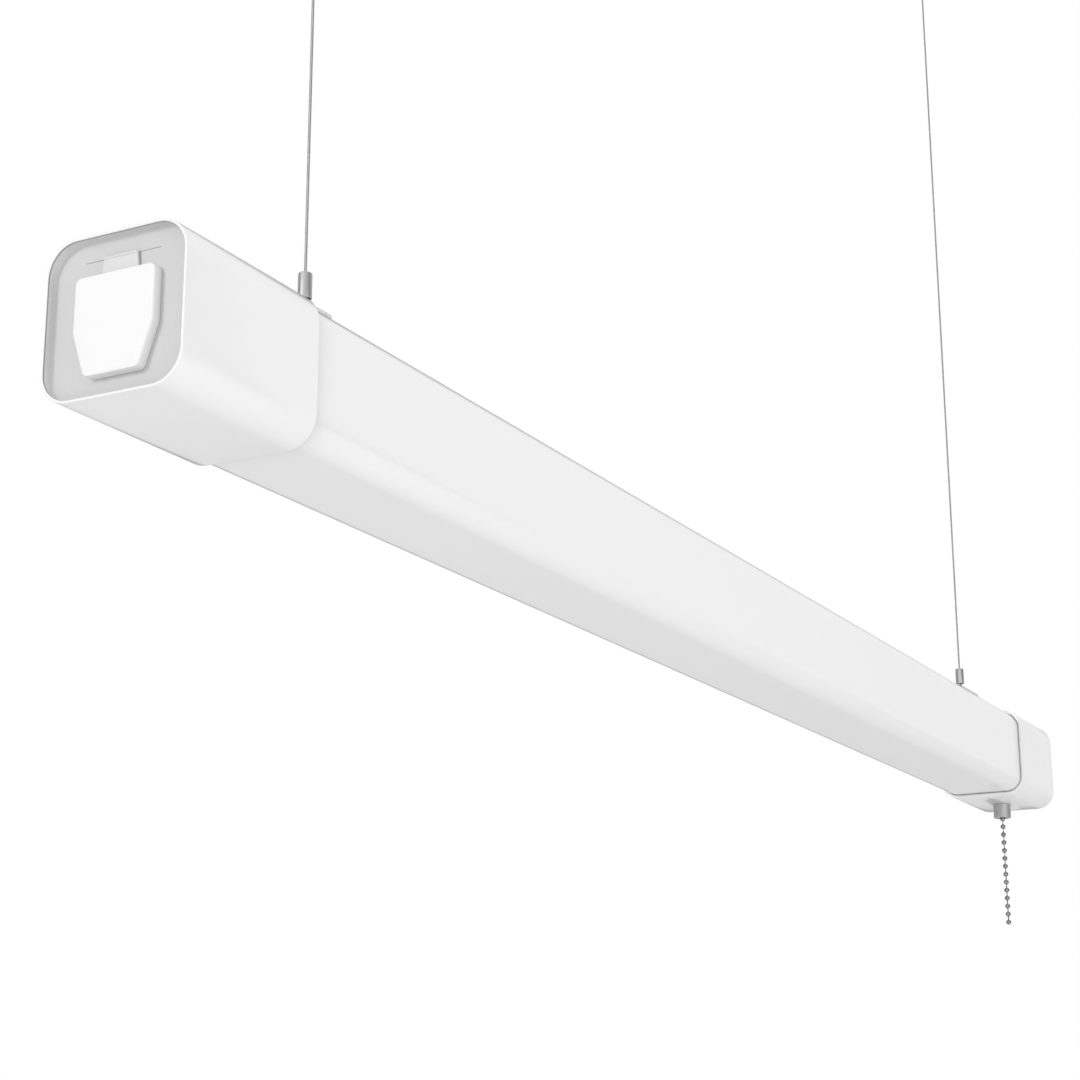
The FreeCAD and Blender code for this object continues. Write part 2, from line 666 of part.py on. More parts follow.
def arc_route(points, bend):
    """A wire through points: straight runs joined by arcs of one bend radius."""
    edges = []
    start = points[0]
    for before, corner, after in zip(points, points[1:], points[2:]):
        into, out = (corner - before).normalize(), (after - corner).normalize()
        half = into.getAngle(out) / 2
        if half < 1e-6:
            continue    # in line with its neighbours
        cut = bend * math.tan(half)
        first, last = corner - into * cut, corner + out * cut
        inward = (out - into).normalize()
        centre = corner + inward * (bend / math.cos(half))
        edges.append(Part.LineSegment(start, first).toShape())
        edges.append(Part.Arc(first, centre - inward * bend, last).toShape())
        start = last
    edges.append(Part.LineSegment(start, points[-1]).toShape())
    return Part.Wire(edges)


def tube(points, bend, radius):
    route = arc_route(points, bend)
    way = (points[1] - points[0]).normalize()
    ring = Part.Wire([Part.Circle(points[0], way, radius).toShape()])
    return route.makePipeShell([ring], True, True)


def through_wires():
    """Three insulated wires from the terminal block along the channel to the outlet's contacts.

    They run in lanes beside the centre line, which the clip and cap screws come down on."""
    near_x, middle = number(sheet, NEAR_END), number(sheet, MIDDLE)
    start_x, lift = number(sheet, BLOCK_X), number(sheet, "wire_lift")
    start_z = number(sheet, TRAY_TOP + " + seat_gap + block_height / 2")
    end_x = number(sheet, OUTLET_BACK)
    radius, bend = number(sheet, "wire_radius"), number(sheet, "wire_bend")
    lead, climb = number(sheet, "wire_lead"), number(sheet, "wire_climb")
    fall, turn, stub = number(sheet, "wire_drop"), number(sheet, "wire_turn"), number(sheet, "wire_stub")
    outer = WEB_INSIDE + " - wire_clear"
    inner = "(%s - wire_pitch)" % outer
    drop = "(%s - wire_radius - fit_gap)" % FOOT
    # each wire: where it leaves the block, its lane, where it drops between the feet, its contact
    lanes = (("-block_pitch", "-" + inner, "-" + drop, "-blade_spacing / 2", "blade_height"),
             ("0", inner, drop, "blade_spacing / 2", "blade_height"),
             ("block_pitch", outer, "0", "0", "earth_height"))
    tubes = []
    for lane in lanes:
        start_y, y, drop_y, end_y, end_z = (number(sheet, item) for item in lane)
        points = [(start_x, start_y, start_z), (start_x - lead, start_y, start_z), (start_x - climb, y, lift),
                  (end_x + fall, y, lift), (end_x + turn, drop_y, end_z), (end_x + stub, end_y, end_z),
                  (end_x, end_y, end_z)]
        points = [FreeCAD.Vector(near_x + x, y, middle + z) for x, y, z in points]
        tubes.append(tube(points, bend, radius))
    piece = doc.addObject("Part::Feature", "through_wires")
    piece.Label = "through_wires"
    piece.Shape = Part.Compound(tubes)
    keep(piece)


# ---------------------------------------------------------------- screws

def screws(label, shank, head, rise, length, seat, places, up=True):
    """Pan head screws, each turned as a solid of its own; heads up, or down where they come from below."""
    body = new_body(label, NEAR_END, "0", "-hang_drop")
    way = "+" if up else "-"
    back = "-" if up else "+"
    for index, (x, y) in enumerate(places, start=1):
        profile = sketch_on(body, "XZ", "Screw%d" % index, "-(%s)" % y)
        profile.setExpression("AttachmentOffset.Base.x", bound(x))
        tip = "%s %s %s" % (seat, back, length)
        outline(profile, [("0", tip, None), (shank, tip, None), (shank, seat, None), (head, seat, None),
                          (head, "%s %s %s / 2" % (seat, way, rise), None),
                          (head + " * head_flat", "%s %s %s" % (seat, way, rise), None),
                          ("0", "%s %s %s" % (seat, way, rise), None)])
        revolve(body, profile, "Turned%d" % index)


def cap_screws():
    starts = ("cap_screw_near", "light_length - cap_screw_near - cap_screw_pitch")
    places = [(start + step, "0") for start in starts for step in ("", " + cap_screw_pitch")]
    screws("cap_screws", "screw_shank", "screw_head", "screw_rise", "screw_length",
           "cap_height / 2 + seat_gap", places)


def clip_screws():
    places = [(hook + side + "clip_screw_pitch / 2", "0")
              for hook in ("near_inset", "light_length - far_inset") for side in (" - ", " + ")]
    screws("clip_screws", "screw_shank", "screw_head", "screw_rise", "screw_length",
           LENS_TOP + " + 2 * seat_gap + clip_wall", places)


def tray_screws():
    places = []
    for row in range(int(SIZES["tray_screw_rows"])):
        for side in ("-", ""):
            places.append(("%s + %d * tray_screw_step * %s" % (TRAY_SCREW_X, row, CHIP_PITCH),
                           side + SCREW_LINE))
    screws("tray_screws", "small_shank", "small_head", "small_rise", "small_length",
           TRAY_TOP + " - tray_wall - 2 * seat_gap - board_wall", places, up=False)


# ---------------------------------------------------------------- link outlet and cover

def outlet():
    """Moulded outlet: a shield-shaped boss through the cap's end, a flange and a block behind it."""
    body = new_body("link_outlet", NEAR_END, "0", MIDDLE)
    face = sketch_on(body, "YZ", "BossOutline", "recess_depth - boss_height")
    shield(face, BOSS_GAP)
    boss = pad(body, face, "Boss", "boss_height + floor_wall + seat_gap")
    plate = sketch_on(body, "YZ", "FlangeOutline", FLOOR_BACK + " + seat_gap")
    rectangle(plate, "outlet_flange_wide / 2", "outlet_flange_high / 2", "outlet_flange_corner",
              "0", OUTLET_MIDDLE)
    pad(body, plate, "Flange", "outlet_flange_wall")
    block = sketch_on(body, "YZ", "BlockOutline", FLOOR_BACK + " + seat_gap")
    rectangle(block, "outlet_block_wide / 2", "outlet_block_high / 2", "outlet_block_corner",
              "0", OUTLET_MIDDLE)
    pad(body, block, "Block", "outlet_flange_wall + outlet_block_deep")
    slots = sketch_on(body, "YZ", "PinSlots", "recess_depth - boss_height")
    for side in ("-", ""):
        rectangle(slots, "blade_slot_wall / 2", "blade_slot_high / 2", None,
                  side + "(blade_spacing / 2)", "blade_height")
    circle(slots, "earth_radius", "0", "earth_height")
    pocket(body, slots, "PinOpenings", OUTLET_BACK + " - contact_deep - recess_depth + boss_height",
           backward=True)
    wells = sketch_on(body, "YZ", "ContactWells", OUTLET_BACK)
    for y, z in (("-(blade_spacing / 2)", "blade_height"), ("blade_spacing / 2", "blade_height"),
                 ("0", "earth_height")):
        rectangle(wells, "contact_gap / 2 + contact_wall + fit_gap", "blade_slot_high / 2 + fit_gap",
                  None, y, z)
    pocket(body, wells, "Wells", "contact_deep")
    holes = sketch_on(body, "YZ", "FlangeHoles", FLOOR_BACK + " + seat_gap + outlet_flange_wall")
    for side in ("-", ""):
        circle(holes, "outlet_post + fit_gap", side + "outlet_screw_line", OUTLET_MIDDLE)
    pocket(body, holes, "FlangeBores", "2 * outlet_flange_wall")


def outlet_screws():
    """Washer-head screws in the cap's posts; their heads hold the outlet's flange."""
    body = new_body("outlet_screws", NEAR_END, "0", MIDDLE)
    seat = FLOOR_BACK + " + outlet_flange_wall + 2 * seat_gap"
    for name, way, radius, length in (("Heads", False, "outlet_head", "small_rise"),
                                      ("Shanks", True, "small_shank", "outlet_flange_wall + seat_gap")):
        face = sketch_on(body, "YZ", name + "Outline", seat)
        for side in ("-", ""):
            circle(face, radius, side + "outlet_screw_line", OUTLET_MIDDLE)
        pad(body, face, name, length, backward=way)


def outlet_contacts():
    """Brass contacts: each a strip folded to a U that grips one pin."""
    body = new_body("outlet_contacts", NEAR_END, "0", MIDDLE)
    strip = sketch_on(body, "YZ", "ContactOutline", OUTLET_BACK + " - contact_deep + fit_gap")
    outer, inner = "contact_gap / 2 + contact_wall", "contact_gap / 2"
    for y, z in (("-(blade_spacing / 2)", "blade_height"), ("blade_spacing / 2", "blade_height"),
                 ("0", "earth_height")):
        rim, web = z + " - blade_slot_high / 2", z + " + blade_slot_high / 2"
        outline(strip, [("%s - (%s)" % (y, outer), rim, None), ("%s - %s" % (y, inner), rim, None),
                        ("%s - %s" % (y, inner), web + " - contact_wall", None),
                        ("%s + %s" % (y, inner), web + " - contact_wall", None),
                        ("%s + %s" % (y, inner), rim, None), ("%s + %s" % (y, outer), rim, None),
                        ("%s + %s" % (y, outer), web, None), ("%s - (%s)" % (y, outer), web, None)])
    pad(body, strip, "Contacts", "contact_deep - 2 * fit_gap")


def cover_anchor():
    """Foot of the cover's strap: a bar behind the cap's end with a lip up through the slit."""
    body = new_body("cover_anchor", NEAR_END, "0", MIDDLE)
    bar = sketch_on(body, "YZ", "AnchorBar", FLOOR_BACK + " + seat_gap")
    rectangle(bar, "slit_length / 2 + anchor_lap", "anchor_high / 2", "anchor_lap", "0", "slit_height")
    pad(body, bar, "Bar", "anchor_wall")
    lip = sketch_on(body, "YZ", "AnchorLip", "recess_depth + seat_gap")
    rectangle(lip, "strap_root / 2", "slit_width / 2 - seat_gap", None, "0", "slit_height")
    pad(body, lip, "Lip", "floor_wall + anchor_wall / 2")


def socket_cover():
    """Soft cover: a hollow shield cap that fits over the outlet's boss, and its strap."""
    body = new_body("socket_cover", NEAR_END, "0", MIDDLE)
    face = sketch_on(body, "YZ", "CoverOutline", "seat_gap")
    shield(face)
    block = pad(body, face, "CoverBlock", "recess_depth - 2 * seat_gap")
    front = number(body, "seat_gap")
    edged = round_edges(body, block, "CoverEdge", "cover_edge", lambda spot, edge: near(spot.x, front))
    inside = sketch_on(body, "YZ", "CoverHollow", "recess_depth - seat_gap")
    shield(inside, "cover_wall")
    pocket(body, inside, "Hollow", "boss_height + seat_gap")
    # the strap tapers a little and its root is round about the bend line
    strap = sketch_on(body, "YZ", "StrapOutline", "recess_depth - strap_axis - strap_wall / 2")
    low = "cover_top - cover_wall / 2"
    top = "slit_height"
    outline(strap, [("-strap_foot / 2", low, None), ("strap_foot / 2", low, None),
                    ("strap_root / 2", top, None), ("-strap_root / 2", top, None)])
    pad(body, strap, "Strap", "strap_wall")
    root = sketch_on(body, "XZ", "StrapRoot")
    circle(root, "strap_axis - seat_gap", "recess_depth - strap_axis", "slit_height")
    pad(body, root, "Root", "strap_root", middle=True)


# ---------------------------------------------------------------- pull switch and chain

SWITCH_X = "light_length - switch_place"
CHAMBER_FLOOR = "-(%s) + chamber_floor" % CAP_INNER
CHAMBER_ROOF = CHAMBER_FLOOR + " + chamber_taper + spring_room + pull_travel + plunger_wall + fit_gap"
COLLAR_TOP = "-cap_height / 2 - seat_gap"


def pull_switch():
    """Switch body inside the cap, with a hollow threaded stem down through the cap's underside."""
    body = new_body("pull_switch", NEAR_END + " + " + SWITCH_X, "0", MIDDLE)
    base = sketch_on(body, "XY", "SwitchOutline", "-(%s) + seat_gap" % CAP_INNER)
    rectangle(base, "switch_long / 2", "switch_wide / 2", "switch_corner")
    pad(body, base, "SwitchBlock", "%s + switch_roof + %s - seat_gap" % (CHAMBER_ROOF, CAP_INNER))
    stem = sketch_on(body, "XY", "StemOutline", "-(%s) + over_cut" % CAP_INNER)
    circle(stem, "stem_radius")
    pad(body, stem, "Stem", "over_cut + cap_height / 2 - (%s) + collar_drop - collar_floor - stem_clear"
        % CAP_INNER, backward=True)
    hollow = sketch_on(body, "XZ", "ChamberProfile")
    deep = "-cap_height / 2 - collar_drop"
    outline(hollow, [("0", deep, None), ("chain_bore", deep, None), ("chain_bore", CHAMBER_FLOOR, None),
                     ("chamber_radius", CHAMBER_FLOOR + " + chamber_taper", None),
                     ("chamber_radius", CHAMBER_ROOF, None), ("0", CHAMBER_ROOF, None)])
    revolve(body, hollow, "Chamber", cut=True)


def switch_collar():
    """Round nut that clamps the switch from below; the chain leaves through its flared mouth."""
    body = new_body("switch_collar", NEAR_END + " + " + SWITCH_X, "0", MIDDLE)
    section = sketch_on(body, "XZ", "CollarProfile")
    bore = "stem_radius + bore_gap"
    foot = COLLAR_TOP + " - collar_drop + seat_gap"
    outline(section, [(bore, COLLAR_TOP, None), (bore, foot + " + collar_floor", None),
                      ("chain_bore", foot + " + collar_floor", None), ("collar_mouth", foot, None),
                      ("collar_radius - collar_chamfer", foot, None),
                      ("collar_radius", foot + " + collar_chamfer", None),
                      ("collar_radius", COLLAR_TOP, None)])
    revolve(body, section, "Collar")


def bead_height(bead):
    """Height of a bead's centre.  Bead 0 is the first in view and the beads above it are negative."""
    return "-hang_drop - first_bead - (%d) * bead_pitch" % bead


def solid_of(kind, name, height, **sizes):
    """One primitive on the chain's own line."""
    piece = doc.addObject("Part::" + kind, name)
    tie(piece, **sizes)
    place(piece, NEAR_END + " + " + SWITCH_X, "0", height)
    return piece


def chain_run(label, first, last, in_bead=True, opens=True):
    """A stiff run of the bead chain, from its first to its last bead.

    A run that hangs in another's last bead starts with a ball inside that bead.  A run that
    another hangs from ends in a hollow bead, whose mouth lets the next link swing."""
    shapes = [solid_of("Sphere", "%s_bead%d" % (label, bead - first), bead_height(bead), Radius="bead_radius")
              for bead in range(first, last + 1)]
    foot = bead_height(last) + " + bead_radius - ball_gap"
    if in_bead:
        shapes.append(solid_of("Sphere", label + "_ball", bead_height(first - 1), Radius="link_ball"))
        head = bead_height(first - 1)
    else:
        head = "-hang_drop + %s - fit_gap - plunger_wall" % CHAMBER_ROOF
        shapes.append(solid_of("Cylinder", label + "_plunger", head, Radius="plunger_radius",
                               Height="plunger_wall"))
    shapes.append(solid_of("Cylinder", label + "_link", foot, Radius="link_radius",
                           Height="%s - (%s)" % (head, foot)))
    run = doc.addObject("Part::MultiFuse", label + "_run" if opens else label)
    run.Shapes = shapes
    if opens:
        hollow = solid_of("Sphere", label + "_hollow", bead_height(last), Radius="link_ball + ball_gap")
        # the mouth widens from the bead's centre by the swing of the link that passes it
        swing = "(chain_swing * 1deg)"
        edge = "link_radius / cos%s + ball_gap / 2" % swing
        mouth = solid_of("Cone", label + "_mouth", bead_height(last) + " - bead_radius - ball_gap",
                         Radius1="(bead_radius + ball_gap) * tan%s + %s" % (swing, edge),
                         Radius2=edge, Height="bead_radius + ball_gap")
        socket = doc.addObject("Part::MultiFuse", label + "_socket")
        socket.Shapes = [hollow, mouth]
        whole = run
        run = doc.addObject("Part::Cut", label)
        run.Base = whole
        run.Tool = socket
    run.Label = label
    return keep(run)


def chain():
    chain_run("chain_upper", -3, 1, in_bead=False)
    chain_run("chain_second", 2, 5)
    chain_run("chain_third", 6, 9)
    chain_run("chain_end", 10, 13, opens=False)


# ---------------------------------------------------------------- cord gland

def gland():
    body = new_body("cord_gland", FAR_END, "0", MIDDLE, ((0, 0, 1), 180))
    flange = sketch_on(body, "YZ", "GlandFlange", "recess_depth - gland_flange_wall - seat_gap")
    circle(flange, "gland_flange")
    pad(body, flange, "Flange", "gland_flange_wall")
    neck = sketch_on(body, "YZ", "GlandNeck", "recess_depth - seat_gap")
    circle(neck, "gland_neck")
    pad(body, neck, "Neck", "floor_wall + gland_nut_wall + gland_tail")
    bore = sketch_on(body, "YZ", "GlandBore", "recess_depth - gland_flange_wall - seat_gap")
    circle(bore, "gland_bore")
    through = "gland_flange_wall + floor_wall + gland_nut_wall + gland_tail + over_cut"
    drilled = pocket(body, bore, "Bore", through, backward=True)
    front = number(body, "recess_depth - gland_flange_wall - seat_gap")
    round_edges(body, drilled, "GlandRound", "gland_round", lambda spot, edge: near(spot.x, front))
    nut = new_body("gland_nut", FAR_END, "0", MIDDLE, ((0, 0, 1), 180))
    ring = sketch_on(nut, "YZ", "NutOutline", FLOOR_BACK + " + seat_gap")
    half, lean = "gland_flange", "gland_flange / sqrt(3)"
    outline(ring, [(half, "-(%s)" % lean, None), (half, lean, None), ("0", "2 * %s" % lean, None),
                   ("-" + half, lean, None), ("-" + half, "-(%s)" % lean, None),
                   ("0", "-2 * %s" % lean, None)])
    circle(ring, "gland_neck + bore_gap")
    pad(nut, ring, "Nut", "gland_nut_wall")


# ---------------------------------------------------------------- suspension

def hanger_clip(label, hook):
    """Folded clip on the channel: a base plate and two ears that the bail's ends turn in."""
    body = new_body(label, hook, "0", MIDDLE)
    base = sketch_on(body, "XY", "ClipBase", LENS_TOP + " + seat_gap")
    rectangle(base, "clip_long / 2", "clip_wide / 2", "clip_corner")
    pad(body, base, "Base", "clip_wall")
    for side, name in (("-", "Right"), ("", "Left")):
        ear = sketch_on(body, "XZ", name + "Ear", "%s(clip_wide / 2 - clip_wall / 2)" % side)
        # a tab with a round top about the pivot
        low, top = LENS_TOP + " + seat_gap", PIVOT_RISE + " + ear_radius"
        waist = low + " + ear_shoulder"
        outline(ear, [("ear_radius + ear_foot", low, None), ("ear_radius", waist, None),
                      ("ear_radius", top, "ear_corner"), ("-ear_radius", top, "ear_corner"),
                      ("-ear_radius", waist, None), ("-ear_radius - ear_foot", low, None)])
        pad(body, ear, name + "Tab", "clip_wall", middle=True)
    pins = sketch_on(body, "XZ", "PivotHole")
    circle(pins, "bail_radius + pivot_gap", "0", PIVOT_RISE)
    pocket(body, pins, "PivotHoles", "2 * clip_wide", middle=True)
    holes = sketch_on(body, "XY", "ClipScrewHole", LENS_TOP)
    circle(holes, "screw_shank + fit_gap", "-clip_screw_pitch / 2", "0")
    first = pocket(body, holes, "ClipScrewBore", "6 * clip_wall", middle=True)
    repeat(body, first, "ClipScrewRow", holes, "H_Axis", "clip_screw_pitch", "2")


def bail(label, hook):
    """Gable-shaped wire bail; its ends turn inward through the clip's ears."""
    body = new_body(label, hook, "0", PIVOT_RISE + " - hang_drop")
    path = sketch_on(body, "YZ", "BailPath")
    slope = "(bail_slope * 1deg)"
    peak = "bail_rise + bail_peak * (1 / cos%s - 1)" % slope
    shoulder = "%s - bail_half * tan%s" % (peak, slope)
    outline(path, [("bail_turn_in", "0", None), ("bail_half", "0", "bail_bend"),
                   ("bail_half", shoulder, "bail_bend"), ("0", peak, "bail_peak"),
                   ("-bail_half", shoulder, "bail_bend"), ("-bail_half", "0", "bail_bend"),
                   ("-bail_turn_in", "0", None)], closed=False)
    wire = sketch_on(body, "XZ", "BailWire", "-bail_turn_in")
    circle(wire, "bail_radius")
    pipe(body, "Wire", wire, path)


def hairpin(path, half, centre, top):
    """A half round under a centre height, with a straight leg up from each of its ends."""
    wide, low, high = number(path, half), number(path, centre), number(path, top)
    corners = [FreeCAD.Vector(x, y, 0) for x, y in ((-wide, high), (-wide, low), (wide, low), (wide, high))]
    bottom = FreeCAD.Vector(0, low - wide, 0)
    left = path.addGeometry(Part.LineSegment(corners[0], corners[1]), False)
    turn = path.addGeometry(Part.Arc(corners[1], bottom, corners[2]), False)
    right = path.addGeometry(Part.LineSegment(corners[2], corners[3]), False)
    path.addConstraint(Sketcher.Constraint("Tangent", left, 2, turn, 1))
    path.addConstraint(Sketcher.Constraint("Tangent", turn, 2, right, 1))
    pin_point(path, turn, 3, "0", centre)
    pin_point(path, left, 1, "-(%s)" % half, top)
    pin_point(path, right, 2, half, top)


def wire_eye(label, x, z, down):
    """The rope's turned-back end: a half round with two legs into the crimp."""
    body = new_body(label, x, "0", z, ((1, 0, 0), 180) if down else None)
    path = sketch_on(body, "XZ", "EyePath")
    reach = "eye_drop + crimp_bell_deep + leg_reach"
    hairpin(path, EYE_RADIUS, "0", reach)
    wire = sketch_on(body, "XY", "EyeWire", reach)
    circle(wire, "rope_radius", "-(%s)" % EYE_RADIUS, "0")
    pipe(body, "Eye", wire, path)


def crimp(label, x, z, down):
    """Turned barrel: flared mouth towards the eye, rounded shoulder towards the rope."""
    body = new_body(label, x, "0", z, ((1, 0, 0), 180) if down else None)
    section = sketch_on(body, "XZ", "CrimpProfile")
    low, top = "eye_drop", "eye_drop + crimp_length"
    outline(section, [("crimp_bell", low, None), ("crimp_radius", low, None),
                      ("crimp_radius", top, "crimp_round"), ("rope_radius + bore_gap", top, None),
                      ("rope_radius + bore_gap", top + " - crimp_reach", None),
                      ("0", top + " - crimp_reach", None), ("0", low + " + crimp_bell_deep", None),
                      ("crimp_bell", low + " + crimp_bell_deep", None)])
    revolve(body, section, "Barrel")
    legs = sketch_on(body, "XY", "LegHole", low + " + crimp_bell_deep - over_cut")
    for side in ("-", ""):
        circle(legs, "rope_radius + bore_gap", "%s(%s)" % (side, EYE_RADIUS), "0")
    pocket(body, legs, "LegBores", "leg_reach + over_cut + seat_gap", backward=True)


def rope(label, x):
    piece = doc.addObject("Part::Cylinder", label)
    piece.Label = label
    foot = EYE_HEIGHT + " + eye_drop + crimp_length - crimp_reach + seat_gap"
    head = RING_FOOT + " - eye_drop - crimp_length + crimp_reach - seat_gap"
    tie(piece, Radius="rope_radius", Height="%s - (%s)" % (head, foot))
    place(piece, x, "0", foot)
    keep(piece)


def ceiling_ring(label, x):
    piece = doc.addObject("Part::Torus", label)
    piece.Label = label
    tie(piece, Radius1="ring_radius", Radius2="ring_wire")
    piece.Placement = FreeCAD.Placement(FreeCAD.Vector(0, 0, 0),
                                        FreeCAD.Rotation(FreeCAD.Vector(0, 1, 0), 90))
    place(piece, x, "0", RING_CENTRE)
    keep(piece)


def ceiling_eye(label, x):
    """Ceiling plate with two screw holes and a half-round loop under it."""
    body = new_body(label, x)
    base = sketch_on(body, "XY", "PlateOutline")
    rectangle(base, "plate_wide / 2", "plate_long / 2", "plate_corner")
    pad(body, base, "Plate", "plate_wall", backward=True)
    path = sketch_on(body, "XZ", "LoopPath")
    half, start, centre = "loop_half", "-plate_wall / 2", "-plate_wall - loop_drop"
    hairpin(path, half, centre, start)
    wire = sketch_on(body, "XY", "LoopWire", start)
    circle(wire, "loop_wire", "-" + half, "0")
    pipe(body, "Loop", wire, path)
    holes = sketch_on(body, "XY", "PlateHole")
    circle(holes, "plate_hole", "0", "-plate_pitch / 2")
    first = pocket(body, holes, "PlateBore", "3 * plate_wall", middle=True)
    repeat(body, first, "PlateBores", holes, "V_Axis", "plate_pitch", "2")


def suspension():
    for side, hook in (("near", NEAR_HOOK), ("far", FAR_HOOK)):
        hanger_clip(side + "_hanger_clip", hook)
        bail(side + "_bail", hook)
        wire_eye(side + "_lower_eye", hook, EYE_HEIGHT, False)
        crimp(side + "_lower_crimp", hook, EYE_HEIGHT, False)
        rope(side + "_wire_rope", hook)
        crimp(side + "_upper_crimp", hook, RING_FOOT, True)
        wire_eye(side + "_upper_eye", hook, RING_FOOT, True)
        ceiling_ring(side + "_ceiling_ring", hook)
        ceiling_eye(side + "_ceiling_eye", hook)


# ---------------------------------------------------------------- build and write

near_cap()
far_cap()
lens()
top_channel()
gear_tray()
led_boards()
driver()
terminal_block()
through_wires()
cap_screws()
clip_screws()
tray_screws()
outlet()
outlet_contacts()
outlet_screws()
cover_anchor()
socket_cover()
pull_switch()
switch_collar()
chain()
gland()
suspension()
doc.recompute()

faults = [item.Label for item in doc.Objects if {"Invalid", "Error"} & set(item.State)]
faults += [item.Label for item in PARTS if item.Shape.isNull() or not item.Shape.isValid()]
if faults:
    raise RuntimeError("failed objects: " + ", ".join(faults))

os.makedirs("parts", exist_ok=True)
for item in PARTS:
    item.Shape.exportStep("parts/%s.step" % item.Label)
    print("%-18s %2d solid(s)  %10.1f mm3" % (item.Label, len(item.Shape.Solids), item.Shape.Volume))
print(len(PARTS), "pieces written")
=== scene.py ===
import bmesh
import bpy
import numpy as np
from mathutils import Matrix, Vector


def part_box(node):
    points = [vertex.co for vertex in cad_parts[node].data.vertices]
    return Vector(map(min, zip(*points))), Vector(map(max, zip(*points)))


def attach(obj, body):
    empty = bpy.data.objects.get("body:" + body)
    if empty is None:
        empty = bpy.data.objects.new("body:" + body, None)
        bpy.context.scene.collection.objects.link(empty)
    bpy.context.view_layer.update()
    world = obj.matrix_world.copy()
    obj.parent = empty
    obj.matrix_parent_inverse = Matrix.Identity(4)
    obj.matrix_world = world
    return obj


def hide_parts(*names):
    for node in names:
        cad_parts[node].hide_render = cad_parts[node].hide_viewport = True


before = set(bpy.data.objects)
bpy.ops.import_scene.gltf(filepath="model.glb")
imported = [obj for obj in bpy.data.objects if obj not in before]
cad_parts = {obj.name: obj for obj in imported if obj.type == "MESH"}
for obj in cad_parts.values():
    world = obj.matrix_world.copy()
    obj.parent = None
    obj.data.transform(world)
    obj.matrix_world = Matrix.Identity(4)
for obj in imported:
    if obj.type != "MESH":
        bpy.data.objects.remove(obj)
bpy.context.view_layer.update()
scene = bpy.context.scene
mm = 0.001
print("frame loaded:", len(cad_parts), "nodes")

# the light's own line, read from the frame: near end, far end, centre height, hanging points
capLow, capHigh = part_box("near_cap")
nearEnd = capLow.x
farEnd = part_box("far_cap")[1].x
lineHeight = (capLow.z + capHigh.z) / 2
hangX = {side: sum(corner.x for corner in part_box(side + "_wire_rope")) / 2 for side in ("near", "far")}
chainX = sum(corner.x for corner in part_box("switch_collar")) / 2


def toNear(points):
    # millimetres from the near end, about the light's centre line, to metres in the frame
    return np.asarray(points, float) * mm + (nearEnd, 0, lineHeight)


def toFar(points):
    # the same for the far end, with x counted back from it
    return np.asarray(points, float) * (-mm, mm, mm) + (farEnd, 0, lineHeight)


def toHang(points, side):
    # millimetres about the light's centre line under a hanging point
    return np.asarray(points, float) * mm + (hangX[side], 0, lineHeight)


def unit(vectors):
    # every vector over its own length
    return vectors / np.linalg.norm(vectors, axis=-1, keepdims=True)


viewSettings = {
    "place": (-1.23252, -0.52260, -1.03667),
    "forward": (0.84966, 0.45324, 0.26953),
    "up": (-0.23666, -0.12902, 0.96299),
    "lens": 72.924,
    "sensor": 36.0,
    "nearest": 0.01,
}


def makeCamera(settings):
    # the camera's axes are the columns of its turn: right, up and backward
    forward = unit(np.array(settings["forward"]))
    right = unit(np.cross(forward, settings["up"]))
    up = np.cross(right, forward)
    data = bpy.data.cameras.new("photoView")
    data.lens = settings["lens"]
    data.sensor_width = settings["sensor"]
    data.clip_start = settings["nearest"]
    camera = bpy.data.objects.new("photoView", data)
    turn = np.eye(4)
    turn[:3, :3] = np.stack([right, up, -forward], axis=1)
    turn[:3, 3] = settings["place"]
    camera.matrix_world = Matrix(turn.tolist())
    scene.collection.objects.link(camera)
    scene.camera = camera


makeCamera(viewSettings)
print("camera placed")


class Sum:
    # one number in a material's node tree; arithmetic on it adds Math nodes
    def __init__(self, finish, socket):
        self.finish, self.socket = finish, socket

    def math(self, operation, *others):
        values = dict(enumerate((self,) + others))
        return self.finish.node("ShaderNodeMath", {"operation": operation}, values)

    def __add__(self, other):
        return self.math("ADD", other)

    def __radd__(self, other):
        return self.math("ADD", other)

    def __sub__(self, other):
        return self.math("SUBTRACT", other)

    def __rsub__(self, other):
        return self.finish.number(other).math("SUBTRACT", self)

    def __mul__(self, other):
        return self.math("MULTIPLY", other)

    def __rmul__(self, other):
        return self.math("MULTIPLY", other)

    def __abs__(self):
        return self.math("ABSOLUTE")

    def below(self, limit, soft):
        # 1 where this number is below the limit, fading to 0 over the soft width
        settings = {"interpolation_type": "SMOOTHSTEP"}
        values = {"Value": self, "From Min": limit - soft / 2, "From Max": limit + soft / 2,
                  "To Min": 1.0, "To Max": 0.0}
        return self.finish.node("ShaderNodeMapRange", settings, values)


